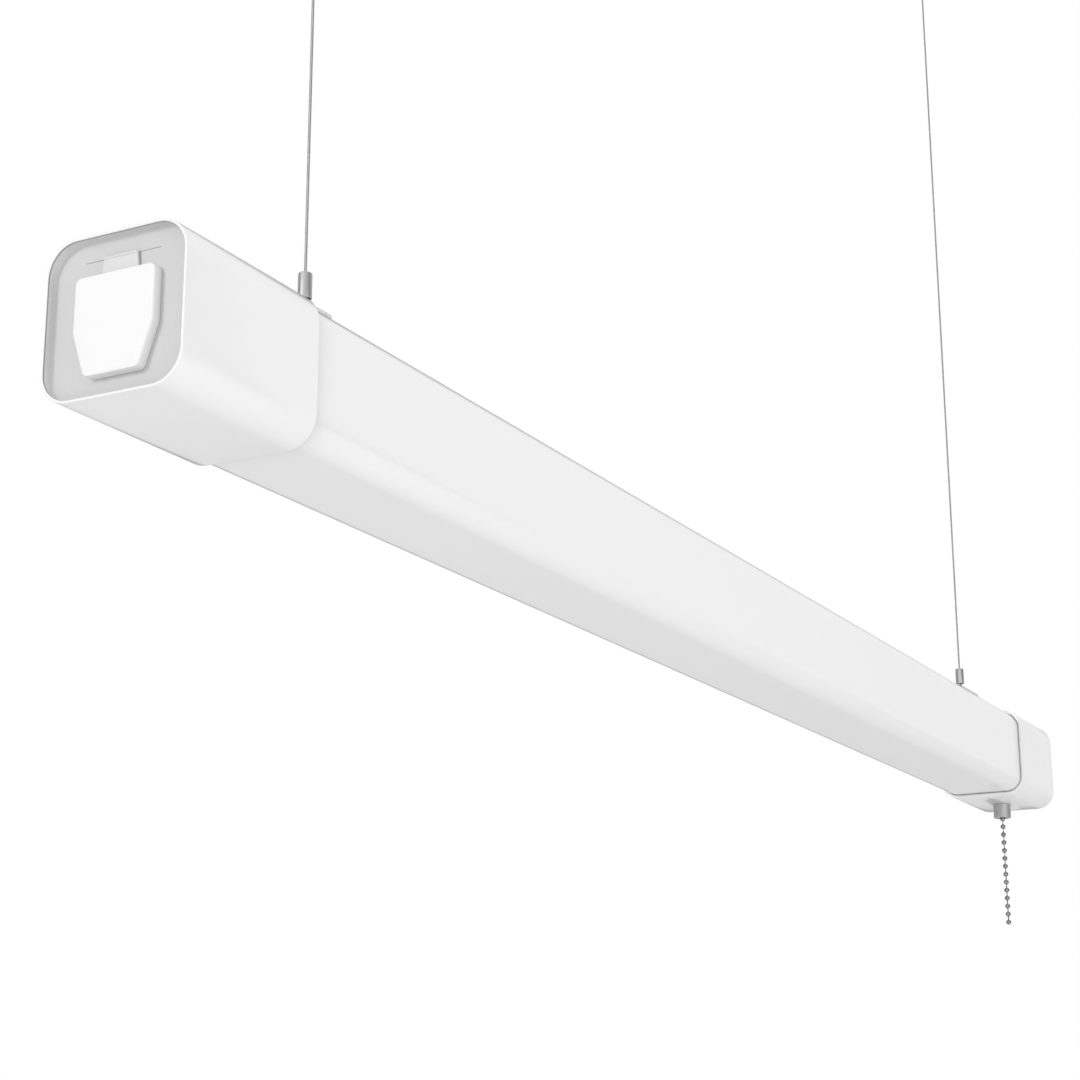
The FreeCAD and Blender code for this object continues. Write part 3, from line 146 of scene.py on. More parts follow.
class Finish:
    # the node tree of a material or a world, with nodes added by kind, settings and inputs
    def __init__(self, owner):
        owner.use_nodes = True
        self.owner = owner
        self.tree = owner.node_tree
        self.shader = self.tree.nodes.get("Principled BSDF")

    def plain(self, **values):
        # constants go straight onto the shader
        for socket, value in values.items():
            self.shader.inputs[socket.replace("_", " ")].default_value = value
        return self

    def link(self, value, socket):
        if isinstance(value, Sum):
            self.tree.links.new(value.socket, socket)
        else:
            socket.default_value = value

    def node(self, kind, settings=None, inputs=None, output=0):
        node = self.tree.nodes.new(kind)
        for name, value in (settings or {}).items():
            setattr(node, name, value)
        for name, value in (inputs or {}).items():
            self.link(value, node.inputs[name])
        return Sum(self, node.outputs[output])

    def number(self, value):
        return self.node("ShaderNodeMath", {"operation": "ADD"}, {0: value, 1: 0.0})

    def place(self, scale=(1, 1, 1), centre=(0, 0, 0)):
        # object coordinates in millimetres about a centre, stretched by a scale
        coordinates = self.node("ShaderNodeTexCoord", output="Object")
        moved = self.node("ShaderNodeVectorMath", {"operation": "SUBTRACT"}, {0: coordinates, 1: centre})
        return self.node("ShaderNodeVectorMath", {"operation": "MULTIPLY"},
                         {0: moved, 1: [part / mm for part in scale]})

    def axes(self, place):
        return [self.node("ShaderNodeSeparateXYZ", inputs={0: place}, output=axis) for axis in range(3)]

    def dot(self, vector, other):
        return self.node("ShaderNodeVectorMath", {"operation": "DOT_PRODUCT"}, {0: vector, 1: other},
                         output="Value")

    def noise(self, place, scale, detail=2.0):
        return self.node("ShaderNodeTexNoise",
                         inputs={"Vector": place, "Scale": scale, "Detail": detail, "Roughness": 0.5})

    def mix(self, factor, first, second):
        return self.node("ShaderNodeMix", {"data_type": "RGBA"}, {0: factor, 6: first, 7: second}, output=2)

    def greys(self, factor, tone, dim):
        # a grey that goes with a factor from a dimmer share of its tone to all of it
        return self.mix(factor, grey(tone * dim), grey(tone))

    def attribute(self, name):
        return self.node("ShaderNodeAttribute", {"attribute_name": name}, output="Fac")

    def feed(self, **inputs):
        for name, value in inputs.items():
            self.link(value, self.shader.inputs[name.replace("_", " ")])
        return self

    def bump(self, height, depth):
        # height from 0 to 1 over a depth in millimetres
        inputs = {"Strength": 1.0, "Distance": depth * mm, "Height": height}
        normal = self.node("ShaderNodeBump", inputs=inputs)
        return self.feed(Normal=normal)


def grey(value):
    return (value, value, value, 1.0)


capLook = {
    "white": 0.88, "flow": 0.03, "flowDim": 0.985, "ior": 1.47,
    "recess": 0.62, "mottle": 0.6, "mottleShares": (0.965, 1.02), "recessRough": 0.16,
    # seam and slit are the greys of the painted shade in the rim's groove and in the strap's slit
    "seam": 0.42, "slit": 0.36, "slitHeight": 25.1, "slitHalf": 18.7, "slitWide": 0.22,
    "slitSoft": 0.2, "slitDeep": 8.0,
    "grain": 1.6, "grainDepth": 0.006, "grainRough": 0.06,
    "roughness": 0.36, "coat": 0.6, "coatRoughness": 0.12,
}


def capPlastic(name, look, end):
    # moulded white plastic: fine satin grain, slow flow marks, a greyer recess without the gloss,
    # painted shade in the rim's groove, and the strap's slit in the near cap drawn as painted shade
    finish = Finish(bpy.data.materials.new(name))
    finish.plain(IOR=look["ior"], Coat_Roughness=look["coatRoughness"])
    place = finish.place(centre=(nearEnd if end == "near" else farEnd, 0, lineHeight))
    grain = finish.noise(place, look["grain"], 3.0)
    recess, seam = finish.attribute("recess"), finish.attribute("seam")
    white = finish.greys(finish.noise(place, look["flow"], 3.0), look["white"], look["flowDim"])
    dark, light = [grey(look["recess"] * share) for share in look["mottleShares"]]
    mottled = finish.mix(finish.noise(place, look["mottle"], 4.0), dark, light)
    # the seam mark lays painted shade on the rim's groove
    colour = finish.mix(seam, finish.mix(recess, white, mottled), grey(look["seam"]))
    height = grain
    if end == "near":
        y, z = finish.axes(place)[1:]
        # the slit is painted shade: a grey line with a bump pressed in, in place of a shaded gap
        slit = (abs(z - look["slitHeight"]).below(look["slitWide"], look["slitSoft"])
                * abs(y).below(look["slitHalf"], look["slitSoft"]) * recess)
        colour = finish.mix(slit, colour, grey(look["slit"]))
        height = grain - slit * look["slitDeep"]
    roughness = look["roughness"] + grain * look["grainRough"] + recess * look["recessRough"]
    finish.feed(Base_Color=colour, Roughness=roughness, Coat_Weight=look["coat"] * (1 - recess))
    finish.bump(height, look["grainDepth"])
    return finish.owner


lensLook = {
    "white": 0.88, "cloud": 0.02, "cloudDim": 0.99, "ior": 1.49,
    "streak": 2.2, "along": (0.004, 1, 1), "streakShare": 0.6, "grain": 2.5, "depth": 0.004,
    "roughness": 0.30, "streakRough": 0.05, "coat": 0.6, "coatRoughness": 0.12,
    "visible": 92.0, "fade": 5.0, "seamShadow": 0.32,
}


def opalPlastic(name, look):
    # extruded opal plastic: faint lines drawn along the light and a very soft mottle; under the
    # edge of the near cap a painted shadow greys it by a share that dies away exponentially
    finish = Finish(bpy.data.materials.new(name))
    finish.plain(IOR=look["ior"], Coat_Weight=look["coat"], Coat_Roughness=look["coatRoughness"])
    place = finish.place(centre=(0, 0, lineHeight))
    drawn = finish.place(scale=look["along"], centre=(0, 0, lineHeight))
    streak = finish.noise(drawn, look["streak"], 3.0)
    beyondCap = finish.axes(finish.place(centre=(nearEnd + look["visible"] * mm, 0, lineHeight)))[0]
    # painted shadow of the near cap's edge on the lens, strongest at the mouth and fading away from it
    seamShadow = (abs(beyondCap) * (-1 / look["fade"])).math("EXPONENT") * look["seamShadow"]
    colour = finish.greys(finish.noise(place, look["cloud"]), look["white"], look["cloudDim"])
    colour = finish.mix(seamShadow, colour, grey(0.0))
    finish.feed(Base_Color=colour, Roughness=look["roughness"] + streak * look["streakRough"])
    relief = streak * look["streakShare"] + finish.noise(place, look["grain"]) * (1 - look["streakShare"])
    finish.bump(relief, look["depth"])
    return finish.owner


rubberLook = {"ior": 1.45, "cloud": 0.08, "dim": 0.985, "pebble": 1.1, "roughness": 0.5, "vary": 0.1,
              "depth": 0.008}


def softRubber(name, white):
    # smooth moulded cover with an almost invisible pebble
    look = rubberLook
    finish = Finish(bpy.data.materials.new(name)).plain(IOR=look["ior"])
    place = finish.place()
    pebble = finish.noise(place, look["pebble"], 3.0)
    finish.feed(Base_Color=finish.greys(finish.noise(place, look["cloud"]), white, look["dim"]),
                Roughness=look["roughness"] + pebble * look["vary"])
    finish.bump(pebble, look["depth"])
    return finish.owner


extrusionLook = {"tone": 0.80, "dim": 0.95, "cloud": 0.05, "lines": 4.0, "along": (0.01, 1, 1),
                 "roughness": 0.34, "vary": 0.12, "depth": 0.004}


def drawnAluminium(name, look):
    # anodised extrusion: die lines along its length
    finish = Finish(bpy.data.materials.new(name)).plain(Metallic=1.0)
    lines = finish.noise(finish.place(scale=look["along"]), look["lines"], 4.0)
    cloud = finish.noise(finish.place(), look["cloud"])
    finish.feed(Base_Color=finish.greys(cloud, look["tone"], look["dim"]),
                Roughness=look["roughness"] + lines * look["vary"])
    finish.bump(lines, look["depth"])
    return finish.owner


turnedLook = {"dim": 0.93, "scuff": 0.9, "vary": 0.1, "ringShare": 0.4, "depth": 0.006}


def turnedMetal(name, tone, roughness, pitch):
    # tool marks round an upright axis: the sine of the height makes rings at an even pitch in
    # millimetres, broken by noise
    look = turnedLook
    finish = Finish(bpy.data.materials.new(name)).plain(Metallic=1.0)
    place = finish.place()
    z = finish.axes(place)[2]
    rings = (z * (2 * np.pi / pitch)).math("SINE") * 0.5 + 0.5
    scuff = finish.noise(place, look["scuff"], 4.0)
    finish.feed(Base_Color=finish.greys(scuff, tone, look["dim"]), Roughness=roughness + scuff * look["vary"])
    finish.bump(rings * look["ringShare"] + scuff * (1 - look["ringShare"]), look["depth"])
    return finish.owner


zincLook = {"tone": 0.66, "shares": (0.9, 1.06), "spangle": 0.8, "roughness": 0.3, "vary": 0.14,
            "grain": 3.0, "depth": 0.005}


def zincSteel(name, look):
    # zinc plated steel: small spangles of slightly different tone and polish
    finish = Finish(bpy.data.materials.new(name)).plain(Metallic=1.0)
    place = finish.place()
    cells = {"Vector": place, "Scale": look["spangle"]}
    spangle = finish.node("ShaderNodeTexVoronoi", {"feature": "F1"}, cells, output=1)
    patch = finish.node("ShaderNodeRGBToBW", inputs={0: spangle})
    dark, light = [grey(look["tone"] * share) for share in look["shares"]]
    finish.feed(Base_Color=finish.mix(patch, dark, light), Roughness=look["roughness"] + patch * look["vary"])
    finish.bump(finish.noise(place, look["grain"], 4.0), look["depth"])
    return finish.owner


chainLook = {"tone": 0.34, "dim": 0.9, "rub": 2.4, "along": (1, 1, 0.3), "roughness": 0.05, "vary": 0.08,
             "grain": 3.0, "depth": 0.002}


def platedChain(name, look):
    # bright nickel with fine rub marks
    finish = Finish(bpy.data.materials.new(name)).plain(Metallic=1.0)
    rub = finish.noise(finish.place(scale=look["along"]), look["rub"], 4.0)
    finish.feed(Base_Color=finish.greys(rub, look["tone"], look["dim"]),
                Roughness=look["roughness"] + rub * look["vary"])
    finish.bump(finish.noise(finish.place(), look["grain"]), look["depth"])
    return finish.owner


ropeLook = {"tone": 0.58, "dim": 0.72, "strands": 6, "lay": 7.0, "waveShare": 0.7, "dust": 0.7,
            "roughness": 0.38, "vary": 0.1, "depth": 0.06}


def strandedWire(name, look, centreX):
    # strands laid round the rope: a wave of the angle about the axis that climbs with height
    finish = Finish(bpy.data.materials.new(name)).plain(Metallic=1.0)
    place = finish.place(centre=(centreX, 0, 0))
    x, y, z = finish.axes(place)
    turn = y.math("ARCTAN2", x)
    climb = z * (2 * np.pi * look["strands"] / look["lay"])
    wave = (turn * look["strands"] + climb).math("SINE") * 0.5 + 0.5
    dust = finish.noise(place, look["dust"], 3.0)
    share = wave * look["waveShare"] + dust * (1 - look["waveShare"])
    finish.feed(Base_Color=finish.greys(share, look["tone"], look["dim"]),
                Roughness=look["roughness"] + dust * look["vary"])
    finish.bump(wave, look["depth"])
    return finish.owner


def twoTone(name, dark, light, roughness, look):
    # one noise carries the colour between its two tones, the polish and the relief
    finish = Finish(bpy.data.materials.new(name)).plain(Metallic=look["metal"])
    grain = finish.noise(finish.place(scale=look["along"]), look["grain"], look["detail"])
    finish.feed(Base_Color=finish.mix(grain, (*dark, 1), (*light, 1)),
                Roughness=roughness + grain * look["vary"])
    finish.bump(grain, look["depth"])
    return finish.owner


paintLook = {"dim": 0.98, "metal": 0.0, "along": (1, 1, 1), "grain": 0.9, "detail": 2.0, "vary": 0.08,
             "depth": 0.02}
plasticLook = {"dim": 0.93, "metal": 0.0, "along": (1, 1, 1), "grain": 1.4, "detail": 3.0, "vary": 0.1,
               "depth": 0.012}
brassLook = {"metal": 1.0, "along": (0.1, 1, 1), "grain": 3.0, "detail": 4.0, "vary": 0.15, "depth": 0.004}
gelLook = {"metal": 0.0, "along": (1, 1, 1), "grain": 1.2, "detail": 2.0, "vary": 0.2, "depth": 0.02}


def paintedSteel(name, tone, gloss):
    # white powder coat with a light orange peel
    return twoTone(name, [tone * paintLook["dim"]] * 3, [tone] * 3, gloss, paintLook)


def plainPlastic(name, colour, roughness=0.45):
    # moulded plastic of one colour with a matt grain
    return twoTone(name, [part * plasticLook["dim"] for part in colour], colour, roughness, plasticLook)


finishes = {
    "nearCap": capPlastic("nearCapPlastic", capLook, "near"),
    "farCap": capPlastic("farCapPlastic", capLook, "far"),
    "lens": opalPlastic("opalLens", lensLook),
    "cover": softRubber("coverRubber", 0.84),
    # the strap is a darker copy of the cover's rubber: painted shade for a strap lying in the recess
    "shadedStrap": softRubber("shadedStrapRubber", 0.69),
    "bail": paintedSteel("bailSteel", 0.62, gloss=0.5),
    "channel": drawnAluminium("channelAluminium", extrusionLook),
    "crimp": turnedMetal("crimpAluminium", 0.60, 0.46, pitch=0.25),
    "collar": turnedMetal("collarNickel", 0.58, 0.55, pitch=0.5),
    "zinc": zincSteel("zincSteel", zincLook),
    "chain": platedChain("chainNickel", chainLook),
    "ropeNear": strandedWire("nearRope", ropeLook, hangX["near"]),
    "ropeFar": strandedWire("farRope", ropeLook, hangX["far"]),
    "paint": paintedSteel("trayPaint", 0.84, gloss=0.35),
    "board": paintedSteel("boardMask", 0.82, gloss=0.4),
    "phosphor": twoTone("ledPhosphor", (0.78, 0.58, 0.12), (0.88, 0.72, 0.25), 0.3, gelLook),
    "driver": plainPlastic("driverCase", (0.72, 0.72, 0.72)),
    "block": plainPlastic("blockPlastic", (0.74, 0.73, 0.69)),
    "insulation": plainPlastic("wireInsulation", (0.78, 0.78, 0.78), roughness=0.35),
    "outlet": plainPlastic("outletPlastic", (0.80, 0.80, 0.79), roughness=0.35),
    "brass": twoTone("contactBrass", (0.55, 0.38, 0.13), (0.72, 0.52, 0.2), 0.25, brassLook),
    "switch": plainPlastic("switchPlastic", (0.03, 0.03, 0.03)),
    "gland": plainPlastic("glandPlastic", (0.80, 0.80, 0.80), roughness=0.4),
}

cadFinishes = {
    "top_channel": "channel", "gear_tray": "paint", "left_led_board": "board", "right_led_board": "board",
    "left_led_chips": "phosphor", "right_led_chips": "phosphor", "led_driver": "driver",
    "terminal_block": "block", "through_wires": "insulation", "tray_screws": "zinc",
    "link_outlet": "outlet", "outlet_contacts": "brass", "outlet_screws": "zinc", "cover_anchor": "cover",
    "pull_switch": "switch", "gland_nut": "gland", "near_hanger_clip": "bail", "far_hanger_clip": "bail",
    "near_ceiling_eye": "zinc", "far_ceiling_eye": "zinc",
}
for node, finish in cadFinishes.items():
    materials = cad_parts[node].data.materials
    materials.clear()
    materials.append(finishes[finish])
print("finishes made:", len(finishes))


def addPiece(name, body, finish, rows, replaces=(), closed=False, sharp=35.0, marks=None):
    # rows of closed rings, in metres: neighbours are joined by four-sided faces,
    # the last row meets the first where closed, and otherwise each end is one flat face
    rows = np.asarray(rows, float)
    count, ring = rows.shape[:2]
    row = np.arange(count if closed else count - 1)[:, None]
    step = np.arange(ring)[None, :]
    nextRow, nextStep = (row + 1) % count, (step + 1) % ring
    faces = np.stack([row * ring + step, row * ring + nextStep, nextRow * ring + nextStep,
                      nextRow * ring + step], axis=-1).reshape(-1, 4).tolist()
    if not closed:
        faces += [list(range(ring)), list(range((count - 1) * ring, count * ring))]
    mesh = bpy.data.meshes.new(name)
    mesh.from_pydata(rows.reshape(-1, 3).tolist(), [], faces)
    outward = bmesh.new()
    outward.from_mesh(mesh)
    bmesh.ops.recalc_face_normals(outward, faces=outward.faces)
    outward.to_mesh(mesh)
    outward.free()
    mesh.polygons.foreach_set("use_smooth", np.ones(len(mesh.polygons), bool))
    mesh.set_sharp_from_angle(angle=np.radians(sharp))
    for mark, values in (marks or {}).items():
        attribute = mesh.attributes.new(mark, "FLOAT", "POINT")
        attribute.data.foreach_set("value", np.repeat(values, ring).astype(np.float32))
    piece = bpy.data.objects.new(name, mesh)
    scene.collection.objects.link(piece)
    mesh.materials.append(finishes[finish])
    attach(piece, body)
    if replaces:
        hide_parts(*replaces)
    return piece


def roundedLoop(corners, arcSteps=12, runSteps=6):
    # a closed outline through corners (y, z, bend): each corner is an arc tangent to both runs,
    # with its centre on the corner's bisector, and each run is divided evenly
    spots = np.array([corner[:2] for corner in corners], float)
    bends = np.array([corner[2] for corner in corners], float)
    before = unit(np.roll(spots, 1, axis=0) - spots)
    after = unit(np.roll(spots, -1, axis=0) - spots)
    half = np.arccos(np.clip((before * after).sum(axis=1), -1, 1)) / 2
    centres = spots + unit(before + after) * (bends / np.sin(half))[:, None]
    first = spots + before * (bends / np.tan(half))[:, None] - centres
    last = spots + after * (bends / np.tan(half))[:, None] - centres
    start = np.arctan2(first[:, 1], first[:, 0])
    sweep = np.arctan2(last[:, 1], last[:, 0]) - start
    sweep = (sweep + np.pi) % (2 * np.pi) - np.pi
    angles = start[:, None] + sweep[:, None] * np.linspace(0, 1, arcSteps)
    arcs = centres[:, None, :] + bends[:, None, None] * np.stack([np.cos(angles), np.sin(angles)], axis=-1)
    ends = np.roll(arcs[:, 0], -1, axis=0)
    share = np.linspace(0, 1, runSteps + 2)[1:-1, None]
    runs = arcs[:, -1][:, None, :] * (1 - share) + ends[:, None, :] * share
    return np.concatenate([arcs, runs], axis=1).reshape(-1, 2)


cornerSigns = ((-1, 1), (1, 1), (1, -1), (-1, -1))


def squareLoop(halfY, halfZ, corner):
    # a rounded rectangle about the light's centre line, from its upper left corner
    return roundedLoop([(y * halfY, z * halfZ, corner) for y, z in cornerSigns])


def polarLoop(outline, like, centre):
    # the outline's points in the directions of another loop's points about a centre
    def directions(loop):
        return np.arctan2(loop[:, 1] - centre[1], loop[:, 0] - centre[0])

    angles = directions(outline)
    order = np.argsort(angles)
    reach = np.linalg.norm(outline - centre, axis=1)[order]
    wanted = directions(like)
    found = np.interp(wanted, angles[order], reach, period=2 * np.pi)
    return np.asarray(centre) + found[:, None] * np.stack([np.cos(wanted), np.sin(wanted)], axis=-1)


def insetLoop(loop, distance):
    # every point moved in along its normal, a quarter turn from its neighbours' chord
    chord = unit(np.roll(loop, -1, axis=0) - np.roll(loop, 1, axis=0))
    normal = np.stack([chord[:, 1], -chord[:, 0]], axis=-1)
    inward = np.sign((normal * (loop.mean(axis=0) - loop)).sum())
    return loop + normal * inward * distance


def atX(x, loop):
    # a flat loop of (y, z) set at one x
    return np.column_stack([np.full(len(loop), float(x)), loop])


def quarter(steps=5):
    # sine and cosine of angles over a quarter turn, for small rounds
    angle = np.linspace(0, np.pi / 2, steps)
    return np.sin(angle), np.cos(angle)


def fullTurn(steps):
    # angles evenly round a whole turn, the first at 0
    return np.linspace(0, 2 * np.pi, steps, endpoint=False)


def lathe(profile, axisX, steps=40):
    # a profile of (radius, height) turned about an upright axis: x and y are the radius times
    # the cosine and sine of the turn; a radius of nothing is held at a thousandth of a millimetre
    profile = np.asarray(profile, float)
    turn = fullTurn(steps)
    radius = np.maximum(profile[:, 0], mm * mm)[:, None]
    x = axisX + radius * np.cos(turn)
    y = radius * np.sin(turn)
    return np.stack([x, y, np.broadcast_to(profile[:, 1][:, None], x.shape)], axis=-1)


def tube(path, flatNormal, radius, steps=20, closed=False):
    # a round tube on a flat path: each ring lies across the path's direction, spanned by the
    # plane's normal and its cross product with that direction
    path = np.asarray(path, float)
    if closed:
        along = np.roll(path, -1, axis=0) - np.roll(path, 1, axis=0)
    else:
        along = np.gradient(path, axis=0)
    side = np.cross(unit(along), flatNormal)
    turn = fullTurn(steps)[None, :, None]
    across = np.cos(turn) * side[:, None, :] + np.sin(turn) * np.asarray(flatNormal, float)
    return path[:, None, :] + radius * across


def bentPath(corners, arcSteps=10):
    # an open path through corners (u, v, bend), with tangent arcs at its inner corners
    spots = np.array([corner[:2] for corner in corners], float)
    parts = [spots[:1]]
    for index in range(1, len(corners) - 1):
        spot, bend = spots[index], corners[index][2]
        back, on = unit(spots[index - 1] - spot), unit(spots[index + 1] - spot)
        half = np.arccos(np.clip(back @ on, -1, 1)) / 2
        centre = spot + unit(back + on) * bend / np.sin(half)
        first = spot + back * bend / np.tan(half) - centre
        last = spot + on * bend / np.tan(half) - centre
        start = np.arctan2(first[1], first[0])
        sweep = (np.arctan2(last[1], last[0]) - start + np.pi) % (2 * np.pi) - np.pi
        angle = start + sweep * np.linspace(0, 1, arcSteps)
        parts.append(centre + bend * np.stack([np.cos(angle), np.sin(angle)], axis=-1))
    parts.append(spots[-1:])
    return np.concatenate(parts)


wireSize = {"diameter": 1.3, "far_end": "object", "stiffness": "stiff", "lay": "taut",
            "shares": (0, 0.02, 0.98, 1), "order": 3, "roundness": 4}


def suspensionWire(side):
    # a taut line from crimp to crimp, four control points on one upright
    low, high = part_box(side + "_wire_rope")
    route = [(hangX[side], 0, low.z + (high.z - low.z) * share) for share in wireSize["shares"]]
    curve = bpy.data.curves.new(side + "Wire", "CURVE")
    curve.dimensions = "3D"
    spline = curve.splines.new("NURBS")
    spline.points.add(len(route) - 1)
    for point, spot in zip(spline.points, route):
        point.co = (*spot, 1)
    spline.order_u = wireSize["order"]
    spline.use_endpoint_u = True
    curve.bevel_depth = wireSize["diameter"] * mm / 2
    curve.bevel_resolution = wireSize["roundness"]
    curve.use_fill_caps = True
    curve.materials.append(finishes["rope" + side.capitalize()])
    piece = bpy.data.objects.new(side + "Wire", curve)
    scene.collection.objects.link(piece)
    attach(piece, side + "_wire")
    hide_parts(side + "_wire_rope")
    return piece, high.z - low.z, (hangX[side], 0, low.z)


crimpSize = {"radius": 3.25, "length": 12.4, "round": 0.8, "bell": 2.75, "bellDeep": 2.4, "taper": 0.1,
             "drop": 2.2, "lip": 0.3}
eyeSize = {"radius": 1.95, "wire": 0.65, "reach": 7.2, "steps": 17, "sides": 14}
bailSize = {"half": 13.7, "rise": 13.2, "slope": 34.2, "foot": 9.2, "bend": 2.0, "peakBend": 2.5, "wire": 1.0}
ringSize = {"radius": 7.0, "wire": 1.0, "steps": 64}


def crimpProfile(size):
    # from the rope's bore over the rounded shoulder and down the barrel, then up inside the bell
    sine, cosine = quarter()
    top, low = size["drop"] + size["length"], size["drop"]
    radius, bend, lip, bell = size["radius"], size["round"], size["lip"], size["bell"]
    shoulder = np.stack([radius - bend * (1 - sine), top - bend * (1 - cosine)], axis=-1)
    edge = np.stack([radius - lip * (1 - cosine), low + lip * (1 - sine)], axis=-1)
    deep = low + size["bellDeep"]
    inner = [(bell, low), (bell - size["taper"], deep), (0, deep)]
    return np.concatenate([[(0, top)], shoulder, edge, inner])


def addCrimp(side, end, eyeHeight, way):
    profile = crimpProfile(crimpSize) * mm
    profile[:, 1] = eyeHeight + way * profile[:, 1]
    name = side + end.capitalize() + "Crimp"
    return addPiece(name, side + "_wire", "crimp", lathe(profile, hangX[side]),
                    ["%s_%s_crimp" % (side, end)])


def addEye(side, end, eyeHeight, way):
    # half a turn round the bail or ring, with two straight legs up into the crimp
    size = eyeSize
    angle = np.linspace(0, -np.pi, size["steps"])
    bend = np.stack([np.cos(angle), np.sin(angle)], axis=-1) * size["radius"]
    legs = np.array([[size["radius"], size["reach"]]])
    path = np.concatenate([legs, bend, legs * (-1, 1)]) * mm
    spots = np.column_stack([hangX[side] + path[:, 0], np.zeros(len(path)), eyeHeight + way * path[:, 1]])
    name = side + end.capitalize() + "Eye"
    rows = tube(spots, (0, 1, 0), size["wire"] * mm, size["sides"])
    return addPiece(name, side + "_wire", "rope" + side.capitalize(), rows,
                    ["%s_%s_eye" % (side, end)])


def addBail(side, footHeight):
    # a gable of wire in the plane across the light, turned in at its feet
    size = bailSize
    slope = np.radians(size["slope"])
    peak = size["rise"] + size["peakBend"] * (1 / np.cos(slope) - 1)
    shoulder = peak - size["half"] * np.tan(slope)
    right = [(size["foot"], 0, 0), (size["half"], 0, size["bend"]), (size["half"], shoulder, size["bend"])]
    left = [(-y, z, bend) for y, z, bend in reversed(right)]
    path = bentPath(right + [(0, peak, size["peakBend"])] + left) * mm
    spots = np.column_stack([np.full(len(path), hangX[side]), path[:, 0], footHeight + path[:, 1]])
    return addPiece(side + "Bail", side + "_wire", "bail", tube(spots, (1, 0, 0), size["wire"] * mm),
                    [side + "_bail"])


def addRing(side):
    low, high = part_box(side + "_ceiling_ring")
    turn, radius = fullTurn(ringSize["steps"]), ringSize["radius"] * mm
    path = np.stack([np.full(len(turn), hangX[side]), radius * np.cos(turn),
                     (low.z + high.z) / 2 + radius * np.sin(turn)], axis=-1)
    return addPiece(side + "Ring", side + "_link", "zinc",
                    tube(path, (1, 0, 0), ringSize["wire"] * mm, closed=True),
                    [side + "_ceiling_ring"], closed=True)


for side in ("near", "far"):
    wire, wireLength, wireFoot = suspensionWire(side)
    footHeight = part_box(side + "_bail")[0].z + bailSize["wire"] * mm
    lowEye = footHeight + bailSize["rise"] * mm
    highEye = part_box(side + "_ceiling_ring")[0].z + ringSize["wire"] * mm
    crimps = [addCrimp(side, "lower", lowEye, 1), addCrimp(side, "upper", highEye, -1)]
    eyes = [addEye(side, "lower", lowEye, 1), addEye(side, "upper", highEye, -1)]
    addBail(side, footHeight)
    addRing(side)
print("suspension made")


capSize = {
    "halfY": 35.0, "halfZ": 34.75, "corner": 14.6, "length": 92.0,
    "rimWall": 1.2, "rimRound": 0.55, "groove": 0.45, "step": 0.1,
    "recess": 5.0, "fillet": 1.6, "floorWall": 2.2, "openingInset": 1.35, "glandHole": 7.65, "glandSteps": 96,
    "socketY": 32.95, "socketZ": 32.55, "socketCorner": 12.55,
    "mouthRound": 0.4, "leadIn": 0.9, "leadRun": 1.0, "chainHalf": 3.0,
}
shieldSize = {"half": 19.6, "top": 17.1, "shoulder": -6.2, "footHalf": 13.3, "foot": -25.1,
              "corner": 3.0, "knee": 5.0}


def shieldLoop(size):
    # the outlet's shield: square shoulders above, drawn in below to a narrow foot
    right = [(size["half"], size["top"], size["corner"]), (size["half"], size["shoulder"], size["knee"]),
             (size["footHalf"], size["foot"], size["corner"])]
    return roundedLoop([(-y, z, bend) for y, z, bend in reversed(right)] + right)


def capRows(size, opening, stops=()):
    # out of the socket, over the mouth, along the sleeve, round the rim into the recess, over its
    # fillet and floor to the opening, through it, and back along the inside to the mouth; the
    # stops are further rows on both sides of the sleeve
    sine, cosine = quarter()
    rows, recess, seam = [], [], []

    def sleeve(inset):
        return squareLoop(size["halfY"] - inset, size["halfZ"] - inset, size["corner"] - inset)

    def add(x, loop, inRecess=0.0, grooveShade=0.0):
        rows.append(atX(x, loop))
        recess.append(inRecess)
        seam.append(grooveShade)

    length, small, rim = size["length"], size["mouthRound"], size["rimRound"]
    for s, c in zip(sine, cosine):
        add(length - small * (1 - c), sleeve(small * (1 - s)))
    for x in reversed(stops):
        add(x, sleeve(0))
    for s, c in zip(sine, cosine):
        add(rim * (1 - s), sleeve(rim * (1 - c)))
    wall = size["rimWall"]
    for s, c in zip(sine, cosine):
        add(rim * (1 - c), sleeve(wall - rim * (1 - s)))
    fillet, deep = size["fillet"], size["recess"]
    groove, step = size["groove"], size["step"]
    # the groove's rows carry the seam mark of painted shade
    add(rim + step, sleeve(wall - groove), 1.0, 1.0)
    add(rim + step + groove, sleeve(wall - groove), 1.0, 1.0)
    add(rim + 2 * step + groove, sleeve(wall), 1.0, 1.0)
    add(rim + 4 * step + groove, sleeve(wall), 1.0)
    for s, c in zip(sine, cosine):
        add(deep - fillet * (1 - s), sleeve(wall + fillet * (1 - c)), 1.0)
    floorLoop = sleeve(wall + fillet)
    hole = polarLoop(opening, floorLoop, opening.mean(axis=0))
    add(deep, (floorLoop + hole) / 2, 1.0)
    add(deep, hole, 1.0)
    back = deep + size["floorWall"]
    add(back, hole)
    inside = squareLoop(size["socketY"], size["socketZ"], size["socketCorner"])
    add(back, inside)
    for x in stops:
        add(x, inside)
    lead = size["halfY"] - size["socketY"] - size["leadIn"]
    add(length - size["leadIn"] - size["leadRun"], inside)
    add(length - size["leadIn"], inside)
    add(length, sleeve(lead))
    add(length, sleeve(lead - step))
    return np.array(rows), {"recess": np.array(recess), "seam": np.array(seam)}


